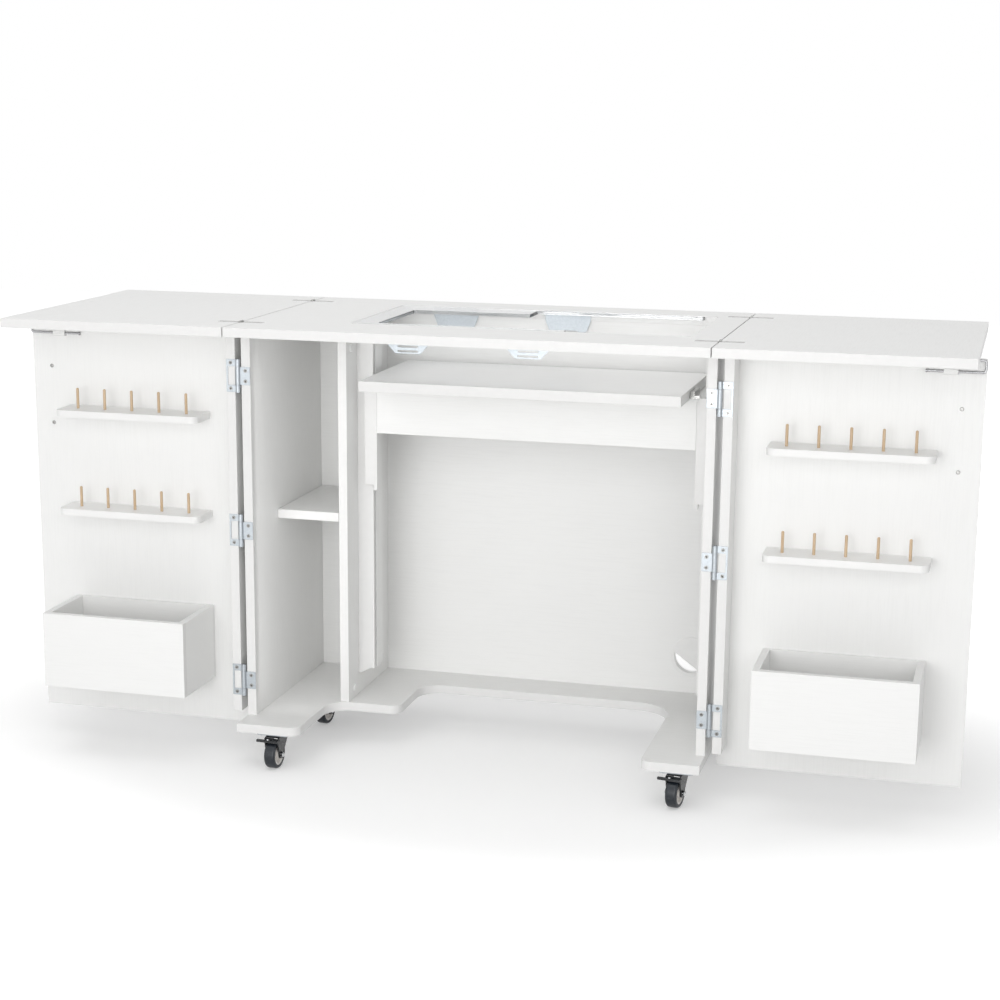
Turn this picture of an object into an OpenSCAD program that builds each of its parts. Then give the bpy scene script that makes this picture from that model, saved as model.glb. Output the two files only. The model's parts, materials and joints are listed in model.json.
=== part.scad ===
// Sewing cabinet on casters, with fold-out leaves, storage doors and a machine lift.
// Millimetres. +Z is up, the floor is z = 0, and the front faces -Y.
// The origin lies on the floor under the middle of the open table top.
// The model stands open, as for sewing: leaves level, doors swung out, lift at bed height.

/* [Table top] */
// Height of the table surface above the floor
overall_h = 775; // [730:1:820]
// Thickness of every main board
board_t = 16; // [14:0.5:19]
// Width of the fixed centre top, which is also the width of the carcass
top_w = 816; // [800:1:850]
// Depth of the table top, front to back
top_d = 510; // [500:1:540]
// Gap at the seam between the centre top and each leaf
seam_gap = 2; // [0.3:0.1:2.5]
// Length of each folding leaf, out from the seam
leaf_l = 405.5; // [380:0.1:406]
// Distance of the machine opening from the divider's right face
rim_left = 31.5; // [31:0.5:50]
// Distance of the machine opening from the right side panel's inner face
rim_right = 37; // [34:0.5:60]
// Depth of the rim in front of the opening
rim_front = 130; // [125:1:134]
// Distance of the opening's back edge from the back panel
rim_back = 2; // [1:0.5:12]
// Radius of the opening's corners
opening_r = 6; // [2:0.5:12]

/* [Carcass] */
// Overhang of the top in front of the side panels
front_overhang = 79; // [70:1:90]
// Overhang of the top behind the side panels
back_overhang = 65; // [50:1:70]
// Clear width of the book bay
bay_w = 115.5; // [100:0.5:118]
// Setback of the divider, the book shelf and the middle of the base from the top's front edge
divider_setback = 198; // [170:1:220]
// Height of the book shelf's upper face above the floor
shelf_z = 428.5; // [300:0.5:600]
// Gap at the ends of the book shelf
shelf_gap = 0.5; // [0.3:0.1:1]
// Radius of a shelf pin
shelf_pin_r = 2.5; // [2:0.1:3]
// Length of a shelf pin outside its panel
shelf_pin_l = 9; // [6:0.5:12]
// Depth of a shelf pin's hole
shelf_pin_hole = 9; // [6:0.5:12]

/* [Base panel] */
// Setback of the feet from the top's front edge
foot_setback = 25; // [24:1:27]
// Width of the left foot
foot_left_w = 113; // [105:1:130]
// Width of the right foot
foot_right_w = 101; // [95:1:120]
// Distance of the knee bay's left edge from the base panel's left end
knee_left = 243; // [228:1:258]
// Setback of the knee bay's back edge from the top's front edge
knee_setback = 346; // [320:1:360]
// Radius of the outward corners
foot_r = 20; // [8:1:25]
// Radius of the inward corner at the left foot
bay_r = 45; // [20:1:60]
// Radius of the knee bay's left inward corner
knee_left_r = 43; // [20:1:60]
// Radius of the knee bay's right inward corner
knee_right_r = 65; // [20:1:80]

/* [Cable grommet] */
// Distance of the grommet's centre from the right side panel's inner face
grommet_inset = 69; // [60:1:140]
// Height of the grommet's centre above the base panel's upper face
grommet_rise = 69; // [45:1:200]
// Outer radius of the grommet's flange
grommet_r = 37.5; // [34:0.5:40]
// Radius of the hole in the back panel
grommet_hole_r = 34; // [30:0.5:34]

/* [Doors] */
// Width of a door panel
door_w = 406.6; // [380:0.1:407]
// Height of a door's lower edge above the floor
door_bottom = 48; // [42:1:50]
// Gap over and under the closed doors, below the top
door_gap = 2; // [1.5:0.5:4]
// Gap between a side panel and the hinge strip of an open door, bridged by the hinges
hinge_gap = 11.4; // [10.6:0.1:14]
// Depth of the hinge strip, which spaces the door off the carcass
strip_d = 56; // [54:0.5:60]
// Height of the lowest hinge's middle above the base panel's upper face
hinge_low = 63.5; // [40:0.5:90]
// Depth of the highest hinge's middle below the door's upper edge
hinge_high = 73.5; // [50:0.5:120]
// Height of the small wing on the side panel
wing_h = 31; // [25:0.5:36]
// Height of the framed wing on the door
frame_h = 56; // [50:0.5:64]
// Thickness of the hinge wings
wing_t = 1.3; // [1:0.1:1.35]
// Radius of the hinge barrels
barrel_r = 4.2; // [3.8:0.1:4.5]
// Radius of the hinge pins
hinge_pin_r = 2; // [1.5:0.1:2.4]
// Distance of the door handle in from the door's free edge
handle_inset = 35; // [30:1:60]
// Depth of the handle's lower screw below the door's upper edge
handle_drop = 182; // [150:1:300]
// Distance between the handle's screws
handle_pitch = 102; // [76:1:140]
// Distance of the handle bar's middle from the door face
handle_reach = 24; // [20:1:30]
// Radius of the handle bar
handle_r = 5; // [4:0.5:6]

/* [Door storage] */
// Distance of the shelves and the bin from the door's hinge edge
store_inset = 71; // [60:1:90]
// Width of the thread shelves and the bin
store_w = 267; // [240:1:290]
// Depths of the thread shelves' upper faces below the door's upper edge, the lower one first
thread_drops = [324, 148];
// Depth of a thread shelf
thread_d = 65; // [55:1:75]
// Thickness of the thread shelves and the bin's boards
store_t = 12; // [9:0.5:15]
// Radius of a thread shelf's front corners
thread_r = 14; // [5:1:25]
// Number of pegs on a thread shelf
peg_count = 5; // [3:1:6]
// Distance between pegs
peg_pitch = 51.3; // [40:0.1:52]
// Distance of the pegs from the door face
peg_out = 35; // [30:1:40]
// Radius of a peg
peg_r = 2.5; // [2:0.1:3.5]
// Height of a peg above its shelf
peg_h = 36; // [25:1:50]
// Depth of a peg's hole
peg_hole = 8; // [5:0.5:9]
// Height of the bin's underside above the door's lower edge
bin_rise = 79; // [50:1:110]
// Height of the bin
bin_h = 133; // [100:1:160]
// Width of the bin
bin_w = 266; // [240:1:268]
// Depth of the bin
bin_d = 140; // [100:1:150]
// Thickness of the bin's back board
bin_back_t = 6; // [4:0.5:12]

/* [Wire locks] */
// Radius of the wire
wire_r = 2; // [1.5:0.1:2.3]
// Depth of the wire's leg below the top's underside
wire_drop = 22; // [20:1:27]
// Distance of the wire's leg from the door face
wire_out = 5; // [4.6:0.1:7]
// Distance of the leg's inner end from the door's free edge
wire_leg_in = 93; // [80:1:110]
// Length of the hoop's return
wire_return = 15; // [8:1:25]
// Width of the plastic clip
clip_w = 22; // [15:1:30]
// Distance of the clip from the door's free edge
clip_inset = 44; // [35:1:50]

/* [Machine lift] */
// Width of a rail
rail_w = 30; // [24:0.5:30.5]
// Depth of a rail
rail_d = 50; // [40:1:60]
// Setback of the rails from the top's front edge
rail_setback = 255; // [250:1:265]
// Height of the rails' lower ends above the floor
rail_z = 120; // [90:1:140]
// Width of a rail's foot, beside which its lower end is cut back
rail_foot_w = 4.5; // [3:0.5:8]
// Height of the cut beside a rail's foot
rail_cut_h = 10; // [5:0.5:20]
// Width of the groove in a rail's inner side
groove_w = 10; // [8:0.5:12]
// Distance of the groove's front edge from the rail's front
groove_in = 4; // [3:0.5:8]
// Depth of the groove in a rail
groove_t = 8; // [6:0.5:10]
// Gap between a rail and the bracket that runs beside it
run_gap = 0.6; // [0.3:0.1:1]
// Thickness of the platform
platform_t = 18; // [16:0.5:20]
// Depth of the platform's upper face below the table surface, as for a machine's bed
platform_drop = 99.5; // [95:0.5:108]
// Setback of the platform's left end from the left bracket's inner edge
platform_in_left = 2; // [1:0.5:6]
// Setback of the platform's right end from the right bracket's inner edge, for the catch
platform_in_right = 9.5; // [6:0.5:12]
// Setback of the platform's front edge from the top's front edge
platform_setback = 134; // [133:1:138]
// Gap between the platform's back edge and the back panel
platform_back = 12; // [6:1:40]
// Height of the apron
apron_h = 89.5; // [60:0.5:120]
// Distance of the brackets' and the apron's front faces in front of the rails
bracket_out = 15; // [14:0.5:18]
// Width of a bracket
bracket_w = 23; // [22:0.5:26]
// Thickness of a bracket's front
bracket_t = 13; // [8:0.5:13.5]
// Width of the part of a bracket's front that laps over the rail
bracket_lap = 12; // [8:0.5:14]
// Thickness of the web beside the rail, which carries the tongue
web_t = 4.5; // [3:0.5:6]
// Length of a bracket's upright
bracket_l = 192.5; // [160:0.5:205]
// Height of the step in a bracket's foot
foot_step = 9.5; // [4:0.5:14]
// Width of the arm that carries the platform
arm_w = 46; // [40:1:60]
// Thickness of the arm
arm_t = 18; // [14:1:20]
// Travel of the lift above the height shown
lift_up = 74; // [60:1:74]
// Travel of the lift below the height shown
lift_down = 230; // [200:1:232]
// Outer radius of the gas strut
strut_r = 9; // [8:0.5:10]
// Radius of the strut's rod
strut_rod_r = 4; // [3:0.5:5]

/* [Insert] */
// Thickness of the clear insert, flush with the table top
insert_t = 6; // [5:0.5:8]
// Gap round the insert
insert_gap = 0.75; // [0.5:0.05:1.5]

/* [Leaf hinges] */
// Setbacks of the leaf hinges from the top's front edge
leaf_hinge_setbacks = [85, 440];
// Length of a strap, out from the seam
strap_l = 40; // [30:1:45]
// Width of a strap
strap_w = 15; // [13:0.5:20]
// Thickness of a strap
strap_t = 1.5; // [1.2:0.1:2]
// Radius of the leaf hinges' knuckles
knuckle_r = 2.2; // [2:0.1:2.6]

/* [Casters] */
// Height of the casters, from the floor to the base panel
caster_h = 64; // [62:1:70]
// Radius of a wheel
wheel_r = 25; // [22:0.5:25]
// Width of a tyre
tyre_w = 20; // [16:0.5:20]
// Distance of the wheel's axle in front of the swivel's axis
trail = 12; // [8:0.5:14]
// Distance of the left casters' swivels from the base panel's left end
caster_left = 64; // [56:1:72]
// Distance of the right casters' swivels from the base panel's right end
caster_right = 40; // [33:1:58]
// Setback of the front casters' swivels from the top's front edge
caster_front_setback = 53.5; // [52.5:0.5:70]
// Setback of the rear casters' swivels from the top's front edge
caster_rear_setback = 318; // [300:1:400]
// Turn of each caster at rest: front left, front right, rear left, rear right
caster_turns = [-4, -10, -8, -6];
// Radius of a wheel's axle
axle_r = 3; // [2.5:0.1:3.5]

/* [Hidden] */
$fn = 48;

WHITE = "#f3f3f1";
EDGE = "#ececea";
STEEL = "#b4b8bc";
BLACK = "#2c2e31";
CREAM = "#e9e2d2";
CLEAR = [0.86, 0.90, 0.94, 0.45];

// Clearances shared by mating pieces
run = 0.06;      // radial gap of a running pin
ease = 0.1;      // radial gap of a fixed pin or plug
slip = 0.4;      // gap of a sliding tongue
cut = 1;         // overlap of a cutting shape past a face
seat = 0.2;      // gap under a piece that is lifted off

// Levels and faces that several pieces share
half_w = top_w / 2;
top_z = overall_h;
top_under = top_z - board_t;
top_front = -top_d / 2;
top_back = top_d / 2;
base_under = caster_h;
base_top = base_under + board_t;
side_in = half_w - board_t;
side_front = top_front + front_overhang;
side_back = top_back - back_overhang;
back_front = side_back - board_t;
divider_x0 = bay_w - side_in;
divider_x1 = divider_x0 + board_t;
divider_front = top_front + divider_setback;
opening_x0 = divider_x1 + rim_left;
opening_x1 = side_in - rim_right;
opening_y0 = top_front + rim_front;
opening_y1 = back_front - rim_back;
grommet_x = side_in - grommet_inset;
grommet_z = base_top + grommet_rise;

// Table seam and leaf hinge axis
leaf_x0 = half_w + seam_gap;
leaf_x1 = leaf_x0 + leaf_l;
seam_x = half_w + seam_gap / 2;
knuckle_z = top_z + 0.4;
leaf_pin_r = knuckle_r / 2;
knuckle_room = 0.5;

// Door hinge axis and door faces
wing_gap = 0.4;
pin_x = half_w + hinge_gap / 2;
pin_y = side_front - wing_t - wing_gap / 2;
strip_x0 = half_w + hinge_gap;
door_x1 = strip_x0 + door_w;
door_in = side_front + strip_d;
door_out = door_in + board_t;
door_top = top_under - door_gap;
strip_z0 = base_top + 5.5;
store_x0 = strip_x0 + store_inset;
store_x1 = store_x0 + store_w;
handle_x = door_x1 - handle_inset;
handle_z = door_top - handle_drop;
hinge_heights = [
    base_top + hinge_low,
    (base_top + hinge_low + door_top - hinge_high) / 2,
    door_top - hinge_high
];
thread_heights = [for (drop = thread_drops) door_top - drop];
bin_x0 = store_x1 - bin_w;
bin_z = door_bottom + bin_rise;
handle_hole_r = 2.6;
frame_window = wing_h / 2 + 0.7;
frame_bar = 3;

// Wire lock: the leg turns in the clip, the hoop passes the door's free edge under the leaf
wire_y = door_in - wire_out;
wire_z = top_under - wire_drop;
wire_x0 = door_x1 - wire_leg_in;
wire_x1 = door_x1 + 1 - wire_r;
hoop_z = top_under - 0.7 - wire_r;
clip_x1 = door_x1 - clip_inset;
clip_x0 = clip_x1 - clip_w;

// Machine lift
rail_y0 = top_front + rail_setback;
lift_y0 = rail_y0 - bracket_out;
rail_y1 = rail_y0 + rail_d;
lift_x0 = divider_x1 + rail_w;
lift_x1 = side_in - rail_w;
lift_mid = (lift_x0 + lift_x1) / 2;
bracket_x1 = (lift_x1 - lift_x0) / 2 - run_gap;
bracket_x0 = bracket_x1 + bracket_lap - bracket_w;
platform_x0 = lift_mid - bracket_x0 + platform_in_left;
platform_x1 = lift_mid + bracket_x0 - platform_in_right;
platform_y0 = top_front + platform_setback;
platform_y1 = back_front - platform_back;
platform_z = top_z - platform_drop;
platform_under = platform_z - platform_t;
apron_y1 = lift_y0 + board_t;
groove_y = rail_y0 + groove_in + groove_w / 2;
tongue_w = groove_w - 2 * slip;
tongue_t = groove_t - slip;
strut_x = side_in - strut_r - 11;
strut_y = rail_y1 + 40;
strut_wall = 1.5;
strut_end = 5;
strut_top = platform_under - arm_t - lift_down - 6;
piston_h = 6;
piston_z = (base_top + strut_end + strut_top - strut_end - piston_h + lift_down - lift_up) / 2;

// Insert and its brackets
insert_x0 = opening_x0 + insert_gap;
insert_x1 = opening_x1 - 25;
insert_y0 = opening_y0 + insert_gap;
insert_y1 = opening_y1 - insert_gap;
insert_under = top_z - insert_t;
lip_t = 1.5;
lip_l = 10;
lip_top = insert_under - seat;
insert_bracket_insets = [102, 311];
insert_bracket_xs = [for (inset = insert_bracket_insets) opening_x0 + inset];
insert_step = 258;
bracket_drop = 32;
bracket_rise = 14;
bracket_foot_half = 22;
bracket_waist_half = 35;
lip_half = 42;
bracket_slots = [28, 20];
bracket_slot_l = 36;
bracket_slot_w = 3.6;

// Casters
caster_left_x = caster_left - half_w;
caster_right_x = half_w - caster_right;
caster_xs = [caster_left_x, caster_right_x, caster_left_x, caster_right_x];
caster_ys = [
    top_front + caster_front_setback, top_front + caster_front_setback,
    top_front + caster_rear_setback, top_front + caster_rear_setback
];
plate_size = [60, 50];
plate_t = 2.5;
race_r = 17;
kingpin_r = 4;
fork_head_z1 = caster_h - 6;
fork_head_t = 2.8;
fork_in = tyre_w / 2 + 1;
fork_t = 2.2;
hub_r = wheel_r - 6;
pedal_y = -20;
pedal_z = 52.5;
pedal_pin_r = 1.5;
pedal_front = -30.5;

// A box between two corners, given as ranges along x, y and z
module span(x, y, z) {
    translate([x[0], y[0], z[0]]) cube([x[1] - x[0], y[1] - y[0], z[1] - z[0]]);
}

// A straight round bar along x
module bar_x(r, x0, x1) {
    translate([x0, 0, 0]) rotate([0, 90, 0]) cylinder(r = r, h = x1 - x0);
}

// A straight round bar along y
module bar_y(r, y0, y1) {
    translate([0, y0, 0]) rotate([-90, 0, 0]) cylinder(r = r, h = y1 - y0);
}

// Children drawn for the right side, mirrored for the left side
module on_side(side) {
    if (side < 0) mirror([1, 0, 0]) children();
    else children();
}

// A flat outline in y and z, given its thickness along x from x0
module sheet_x(x0, t) {
    translate([x0, 0, 0]) rotate([90, 0, 90]) linear_extrude(t) children();
}

// The area between a square corner and the arc that rounds it.
// sx and sy point from the corner to the arc's centre.
module corner_web(x, y, sx, sy, r) {
    difference() {
        translate([min(x, x + sx * r), min(y, y + sy * r)]) square(r);
        translate([x + sx * r, y + sy * r]) circle(r);
    }
}

// A rectangle with rounded corners
module round_rect(x0, x1, y0, y1, r) {
    difference() {
        translate([x0, y0]) square([x1 - x0, y1 - y0]);
        corner_web(x0, y0, 1, 1, r);
        corner_web(x1, y0, -1, 1, r);
        corner_web(x0, y1, 1, -1, r);
        corner_web(x1, y1, -1, -1, r);
    }
}

// A slot with round ends, centred, along x
module slot_outline(l, w) {
    square([l - w, w], center = true);
    for (s = [-1, 1]) translate([s * (l - w) / 2, 0]) circle(w / 2);
}

// Base panel: two feet, a shallow front under the bay and a deep knee bay
module base_outline() {
    foot_y = top_front + foot_setback;
    left_in = foot_left_w - half_w;
    right_in = half_w - foot_right_w;
    knee_left_x = knee_left - half_w;
    knee_y = top_front + knee_setback;
    difference() {
        translate([-half_w, foot_y]) square([top_w, side_back - foot_y]);
        difference() {
            union() {
                translate([left_in, foot_y - cut])
                    square([right_in - left_in, divider_front - foot_y + cut]);
                translate([knee_left_x, foot_y - cut])
                    square([right_in - knee_left_x, knee_y - foot_y + cut]);
            }
            corner_web(left_in, divider_front, 1, -1, bay_r);
            corner_web(knee_left_x, knee_y, 1, -1, knee_left_r);
            corner_web(right_in, knee_y, -1, -1, knee_right_r);
        }
        corner_web(left_in, foot_y, -1, 1, foot_r);
        corner_web(right_in, foot_y, 1, 1, foot_r);
        corner_web(knee_left_x, divider_front, -1, 1, foot_r);
    }
}

module base_panel() {
    color(WHITE) translate([0, 0, base_under]) linear_extrude(board_t) base_outline();
}

// Holes for the shelf pins, along x, in a panel face at x = face that opens towards dir
module shelf_pin_places() {
    for (y = [divider_front + 30, back_front - 30])
        translate([0, y, shelf_z - board_t - shelf_pin_r]) children();
}

module side_panel() {
    span([side_in, half_w], [side_front, side_back], [base_top, top_under]);
}

module left_side_panel() {
    color(WHITE) difference() {
        on_side(-1) side_panel();
        shelf_pin_places() bar_x(shelf_pin_r + ease, -side_in - shelf_pin_hole, -side_in + cut);
    }
}

module right_side_panel() {
    color(WHITE) side_panel();
}

module divider_panel() {
    color(WHITE) difference() {
        span([divider_x0, divider_x1], [divider_front, back_front], [base_top, top_under]);
        shelf_pin_places() bar_x(shelf_pin_r + ease, divider_x0 - cut, divider_x0 + shelf_pin_hole);
    }
}

module back_panel() {
    color(EDGE) difference() {
        span([-side_in, side_in], [back_front, side_back], [base_top, top_under]);
        translate([grommet_x, 0, grommet_z])
            bar_y(grommet_hole_r + ease, back_front - cut, side_back + cut);
    }
}

module book_shelf() {
    color(WHITE) span(
        [-side_in + shelf_gap, divider_x0 - shelf_gap],
        [divider_front, back_front - shelf_gap],
        [shelf_z - board_t, shelf_z]
    );
}

module shelf_pins() {
    pin_in = shelf_pin_hole - ease;
    color(STEEL) shelf_pin_places() {
        bar_x(shelf_pin_r, -side_in - pin_in, -side_in + shelf_pin_l);
        bar_x(shelf_pin_r, divider_x0 - shelf_pin_l, divider_x0 + pin_in);
    }
}

// Recess for one leaf hinge, in the board on the -x side of the seam
module leaf_hinge_recess() {
    translate([seam_x - strap_l - ease, -strap_w / 2 - ease, top_z - strap_t])
        cube([strap_l + ease + cut, strap_w + 2 * ease, strap_t + cut]);
    translate([
        seam_x - knuckle_r - knuckle_room,
        -strap_w / 2 - knuckle_room,
        knuckle_z - knuckle_r - knuckle_room
    ])
        cube([knuckle_r + knuckle_room + cut, strap_w + 2 * knuckle_room, knuckle_r + 2 * cut]);
}

module leaf_hinge_places() {
    for (setback = leaf_hinge_setbacks) translate([0, top_front + setback, 0]) children();
}

module centre_top() {
    color(WHITE) difference() {
        span([-half_w, half_w], [top_front, top_back], [top_under, top_z]);
        translate([0, 0, top_under - cut]) linear_extrude(board_t + 2 * cut)
            round_rect(opening_x0, opening_x1, opening_y0, opening_y1, opening_r);
        for (side = [-1, 1]) on_side(side) leaf_hinge_places() leaf_hinge_recess();
    }
}

module leaf_panel() {
    color(WHITE) difference() {
        span([leaf_x0, leaf_x1], [top_front, top_back], [top_under, top_z]);
        translate([2 * seam_x, 0, 0]) mirror([1, 0, 0]) leaf_hinge_places() leaf_hinge_recess();
    }
}

module left_leaf_panel() { on_side(-1) leaf_panel(); }
module right_leaf_panel() { leaf_panel(); }

// One third of a leaf hinge's width, less the gap beside a knuckle
knuckle_w = (strap_w - 0.6) / 3;

// Strap on the -x side of the seam, without its tongues and knuckles
module leaf_strap() {
    translate([seam_x - strap_l, -strap_w / 2, top_z - strap_t])
        cube([strap_l - knuckle_r - knuckle_room, strap_w, strap_t]);
}

// Tongue and knuckle over the stretch of width w centred at y
module leaf_knuckle(y, w) {
    translate([seam_x - knuckle_r - knuckle_room - cut, y - w / 2, top_z - strap_t])
        cube([knuckle_r + knuckle_room + cut, w, strap_t]);
    translate([seam_x, 0, knuckle_z]) bar_y(knuckle_r, y - w / 2, y + w / 2);
}

module leaf_hinge_fixed_wings() {
    color(STEEL) for (side = [-1, 1]) on_side(side) leaf_hinge_places() {
        leaf_strap();
        difference() {
            leaf_knuckle(0, knuckle_w);
            translate([seam_x, 0, knuckle_z]) bar_y(leaf_pin_r + run, -knuckle_w, knuckle_w);
        }
    }
}

module leaf_hinge_wings() {
    outer = (strap_w - knuckle_w) / 2;
    color(STEEL) leaf_hinge_places() {
        translate([2 * seam_x, 0, 0]) mirror([1, 0, 0]) {
            leaf_strap();
            for (s = [-1, 1]) leaf_knuckle(s * outer, knuckle_w);
        }
        translate([seam_x, 0, knuckle_z]) bar_y(leaf_pin_r, -outer, outer);
    }
}

module left_leaf_hinge_wings() { on_side(-1) leaf_hinge_wings(); }
module right_leaf_hinge_wings() { leaf_hinge_wings(); }

// Upright trapezoid plates with two slots, and a lip that carries the insert
module insert_bracket() {
    color(STEEL) {
        difference() {
            translate([0, lip_t, 0]) rotate([90, 0, 0]) linear_extrude(lip_t) polygon([
                [-bracket_foot_half, top_under - bracket_drop],
                [bracket_foot_half, top_under - bracket_drop],
                [bracket_waist_half, top_under - bracket_drop + bracket_rise],
                [lip_half, top_under], [lip_half, lip_top], [-lip_half, lip_top],
                [-lip_half, top_under],
                [-bracket_waist_half, top_under - bracket_drop + bracket_rise]
            ]);
            for (drop = bracket_slots) translate([0, -cut, top_under - drop])
                rotate([-90, 0, 0]) linear_extrude(lip_t + 2 * cut)
                    slot_outline(bracket_slot_l, bracket_slot_w);
        }
        translate([-lip_half, 0, lip_top - lip_t]) cube([2 * lip_half, lip_l, lip_t]);
    }
}

module insert_brackets() {
    for (x = insert_bracket_xs) {
        translate([x, opening_y0, 0]) insert_bracket();
        translate([x, opening_y1, 0]) mirror([0, 1, 0]) insert_bracket();
    }
}

// Flanged ring in the back panel, closed but for a moon-shaped cable slot low on the left
module cable_grommet() {
    flange_t = 2;
    ring_in = grommet_hole_r - 3;
    moon_r = ring_in - 0.5;
    moon_chord = 12;
    moon_turn = 36;
    color(WHITE) translate([grommet_x, 0, grommet_z]) difference() {
        union() {
            bar_y(grommet_r, back_front - flange_t, back_front);
            bar_y(grommet_hole_r, back_front - cut, side_back);
        }
        bar_y(ring_in, back_front + cut, side_back + cut);
        translate([0, back_front - flange_t - cut, 0]) rotate([-90, 0, 0])
            linear_extrude(flange_t + 3 * cut) intersection() {
                circle(moon_r);
                rotate(moon_turn) translate([-moon_r, moon_chord]) square(2 * moon_r);
            }
    }
}

// Caps over the screws in the divider's right face, as [y, z]
cap_places = [
    [divider_front + 25, top_under - 39], [back_front - 40, shelf_z + 21.5],
    [divider_front + 32, base_top + 18], [back_front - 38, base_top + 32]
];
cap_r = 7;
cap_t = 1.2;
module cover_caps() {
    color(WHITE) for (p = cap_places) translate([0, p[0], p[1]])
        bar_x(cap_r, divider_x1, divider_x1 + cap_t);
}

module door_hinge_places() {
    for (z = hinge_heights) translate([0, 0, z]) children();
}

// Small wing on the side panel's front edge, with the middle barrel
module fixed_wing() {
    difference() {
        union() {
            span([side_in, pin_x], [side_front - wing_t, side_front], [-wing_h / 2, wing_h / 2]);
            translate([pin_x, pin_y, -wing_h / 2]) cylinder(r = barrel_r, h = wing_h);
        }
        translate([pin_x, pin_y, -wing_h]) cylinder(r = hinge_pin_r + run, h = 2 * wing_h);
    }
}

module door_hinge_fixed_wings() {
    color(STEEL) for (side = [-1, 1]) on_side(side) door_hinge_places() fixed_wing();
}

// Framed wing on the strip: two arms with barrels, an outer bar, and the pin with its capped ends
module hinge_frame() {
    x1 = strip_x0 + board_t - 0.5;
    arm = [frame_window, frame_h / 2];
    for (s = [-1, 1]) mirror([0, 0, s < 0 ? 1 : 0]) {
        span([pin_x, x1], [side_front - wing_t, side_front], arm);
        translate([pin_x, pin_y, wing_h / 2 + 0.3])
            cylinder(r = barrel_r, h = frame_h / 2 - wing_h / 2 - 0.3);
        translate([pin_x, pin_y, frame_h / 2]) cylinder(r = barrel_r - 1, h = 0.8);
    }
    span([x1 - frame_bar, x1], [side_front - wing_t, side_front], [-frame_h / 2, frame_h / 2]);
    translate([pin_x, pin_y, -frame_h / 2]) cylinder(r = hinge_pin_r, h = frame_h);
}

module left_hinge_frames() { color(STEEL) on_side(-1) door_hinge_places() hinge_frame(); }
module right_hinge_frames() { color(STEEL) door_hinge_places() hinge_frame(); }

module door_panel() {
    color(WHITE) difference() {
        span([strip_x0, door_x1], [door_in, door_out], [door_bottom, door_top]);
        for (z = [handle_z, handle_z + handle_pitch]) translate([handle_x, 0, z])
            bar_y(handle_hole_r, door_in - cut, door_out + cut);
    }
}

module left_door_panel() { on_side(-1) door_panel(); }
module right_door_panel() { door_panel(); }

module hinge_strip() {
    color(WHITE) span([strip_x0, strip_x0 + board_t], [side_front, door_in], [strip_z0, door_top]);
}

module left_hinge_strip() { on_side(-1) hinge_strip(); }
module right_hinge_strip() { hinge_strip(); }

// Pegs of both thread shelves, at their places on the shelves' upper faces
module peg_places() {
    first_x = (store_x0 + store_x1 - (peg_count - 1) * peg_pitch) / 2 - 1;
    for (z = thread_heights, i = [0 : peg_count - 1])
        translate([first_x + i * peg_pitch, door_in - peg_out, z]) children();
}

module thread_shelves() {
    color(WHITE) difference() {
        for (z = thread_heights) translate([0, 0, z - store_t]) linear_extrude(store_t)
            difference() {
                translate([store_x0, door_in - thread_d]) square([store_w, thread_d]);
                corner_web(store_x0, door_in - thread_d, 1, 1, thread_r);
                corner_web(store_x1, door_in - thread_d, -1, 1, thread_r);
            }
        peg_places() translate([0, 0, -peg_hole]) cylinder(r = peg_r + ease, h = peg_hole + cut);
    }
}

module left_thread_shelves() { on_side(-1) thread_shelves(); }
module right_thread_shelves() { thread_shelves(); }

module thread_pegs() {
    color(EDGE) peg_places() {
        translate([0, 0, ease - peg_hole])
            cylinder(r = peg_r, h = peg_hole + peg_h - peg_r / 2 - ease);
        translate([0, 0, peg_h - peg_r / 2]) cylinder(r1 = peg_r, r2 = peg_r / 2, h = peg_r / 2);
    }
}

module left_thread_pegs() { on_side(-1) thread_pegs(); }
module right_thread_pegs() { thread_pegs(); }

// Bin screwed to the door: front, ends and floor of board, and a thin back
module bin() {
    color(WHITE) difference() {
        span([bin_x0, store_x1], [door_in - bin_d, door_in], [bin_z, bin_z + bin_h]);
        span(
            [bin_x0 + store_t, store_x1 - store_t],
            [door_in - bin_d + store_t, door_in - bin_back_t],
            [bin_z + store_t, bin_z + bin_h + cut]
        );
    }
}

module left_bin() { on_side(-1) bin(); }
module right_bin() { bin(); }

// Bar handle on the door's outer face, with screws through the door to heads on the inner face
module door_handle() {
    color(STEEL) translate([handle_x, 0, 0]) {
        for (z = [handle_z, handle_z + handle_pitch]) translate([0, 0, z]) {
            bar_y(handle_r - 1, door_out, door_out + handle_reach);
            bar_y(handle_hole_r - 2 * ease, door_in, door_out + cut);
            bar_y(4.5, door_in - 2, door_in);
        }
        translate([0, door_out + handle_reach, handle_z - 8])
            cylinder(r = handle_r, h = handle_pitch + 16);
    }
}

module left_door_handle() { on_side(-1) door_handle(); }
module right_door_handle() { door_handle(); }

// Plastic block that the lock's leg turns in
module wire_clip() {
    clip_half = wire_r + 3.5;
    color(WHITE) difference() {
        span([clip_x0, clip_x1], [wire_y - wire_r - 2, door_in],
            [wire_z - clip_half, wire_z + clip_half]);
        translate([0, wire_y, wire_z]) bar_x(wire_r + run, clip_x0 - cut, clip_x1 + cut);
    }
}

module left_wire_clip() { on_side(-1) wire_clip(); }
module right_wire_clip() { wire_clip(); }

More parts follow.
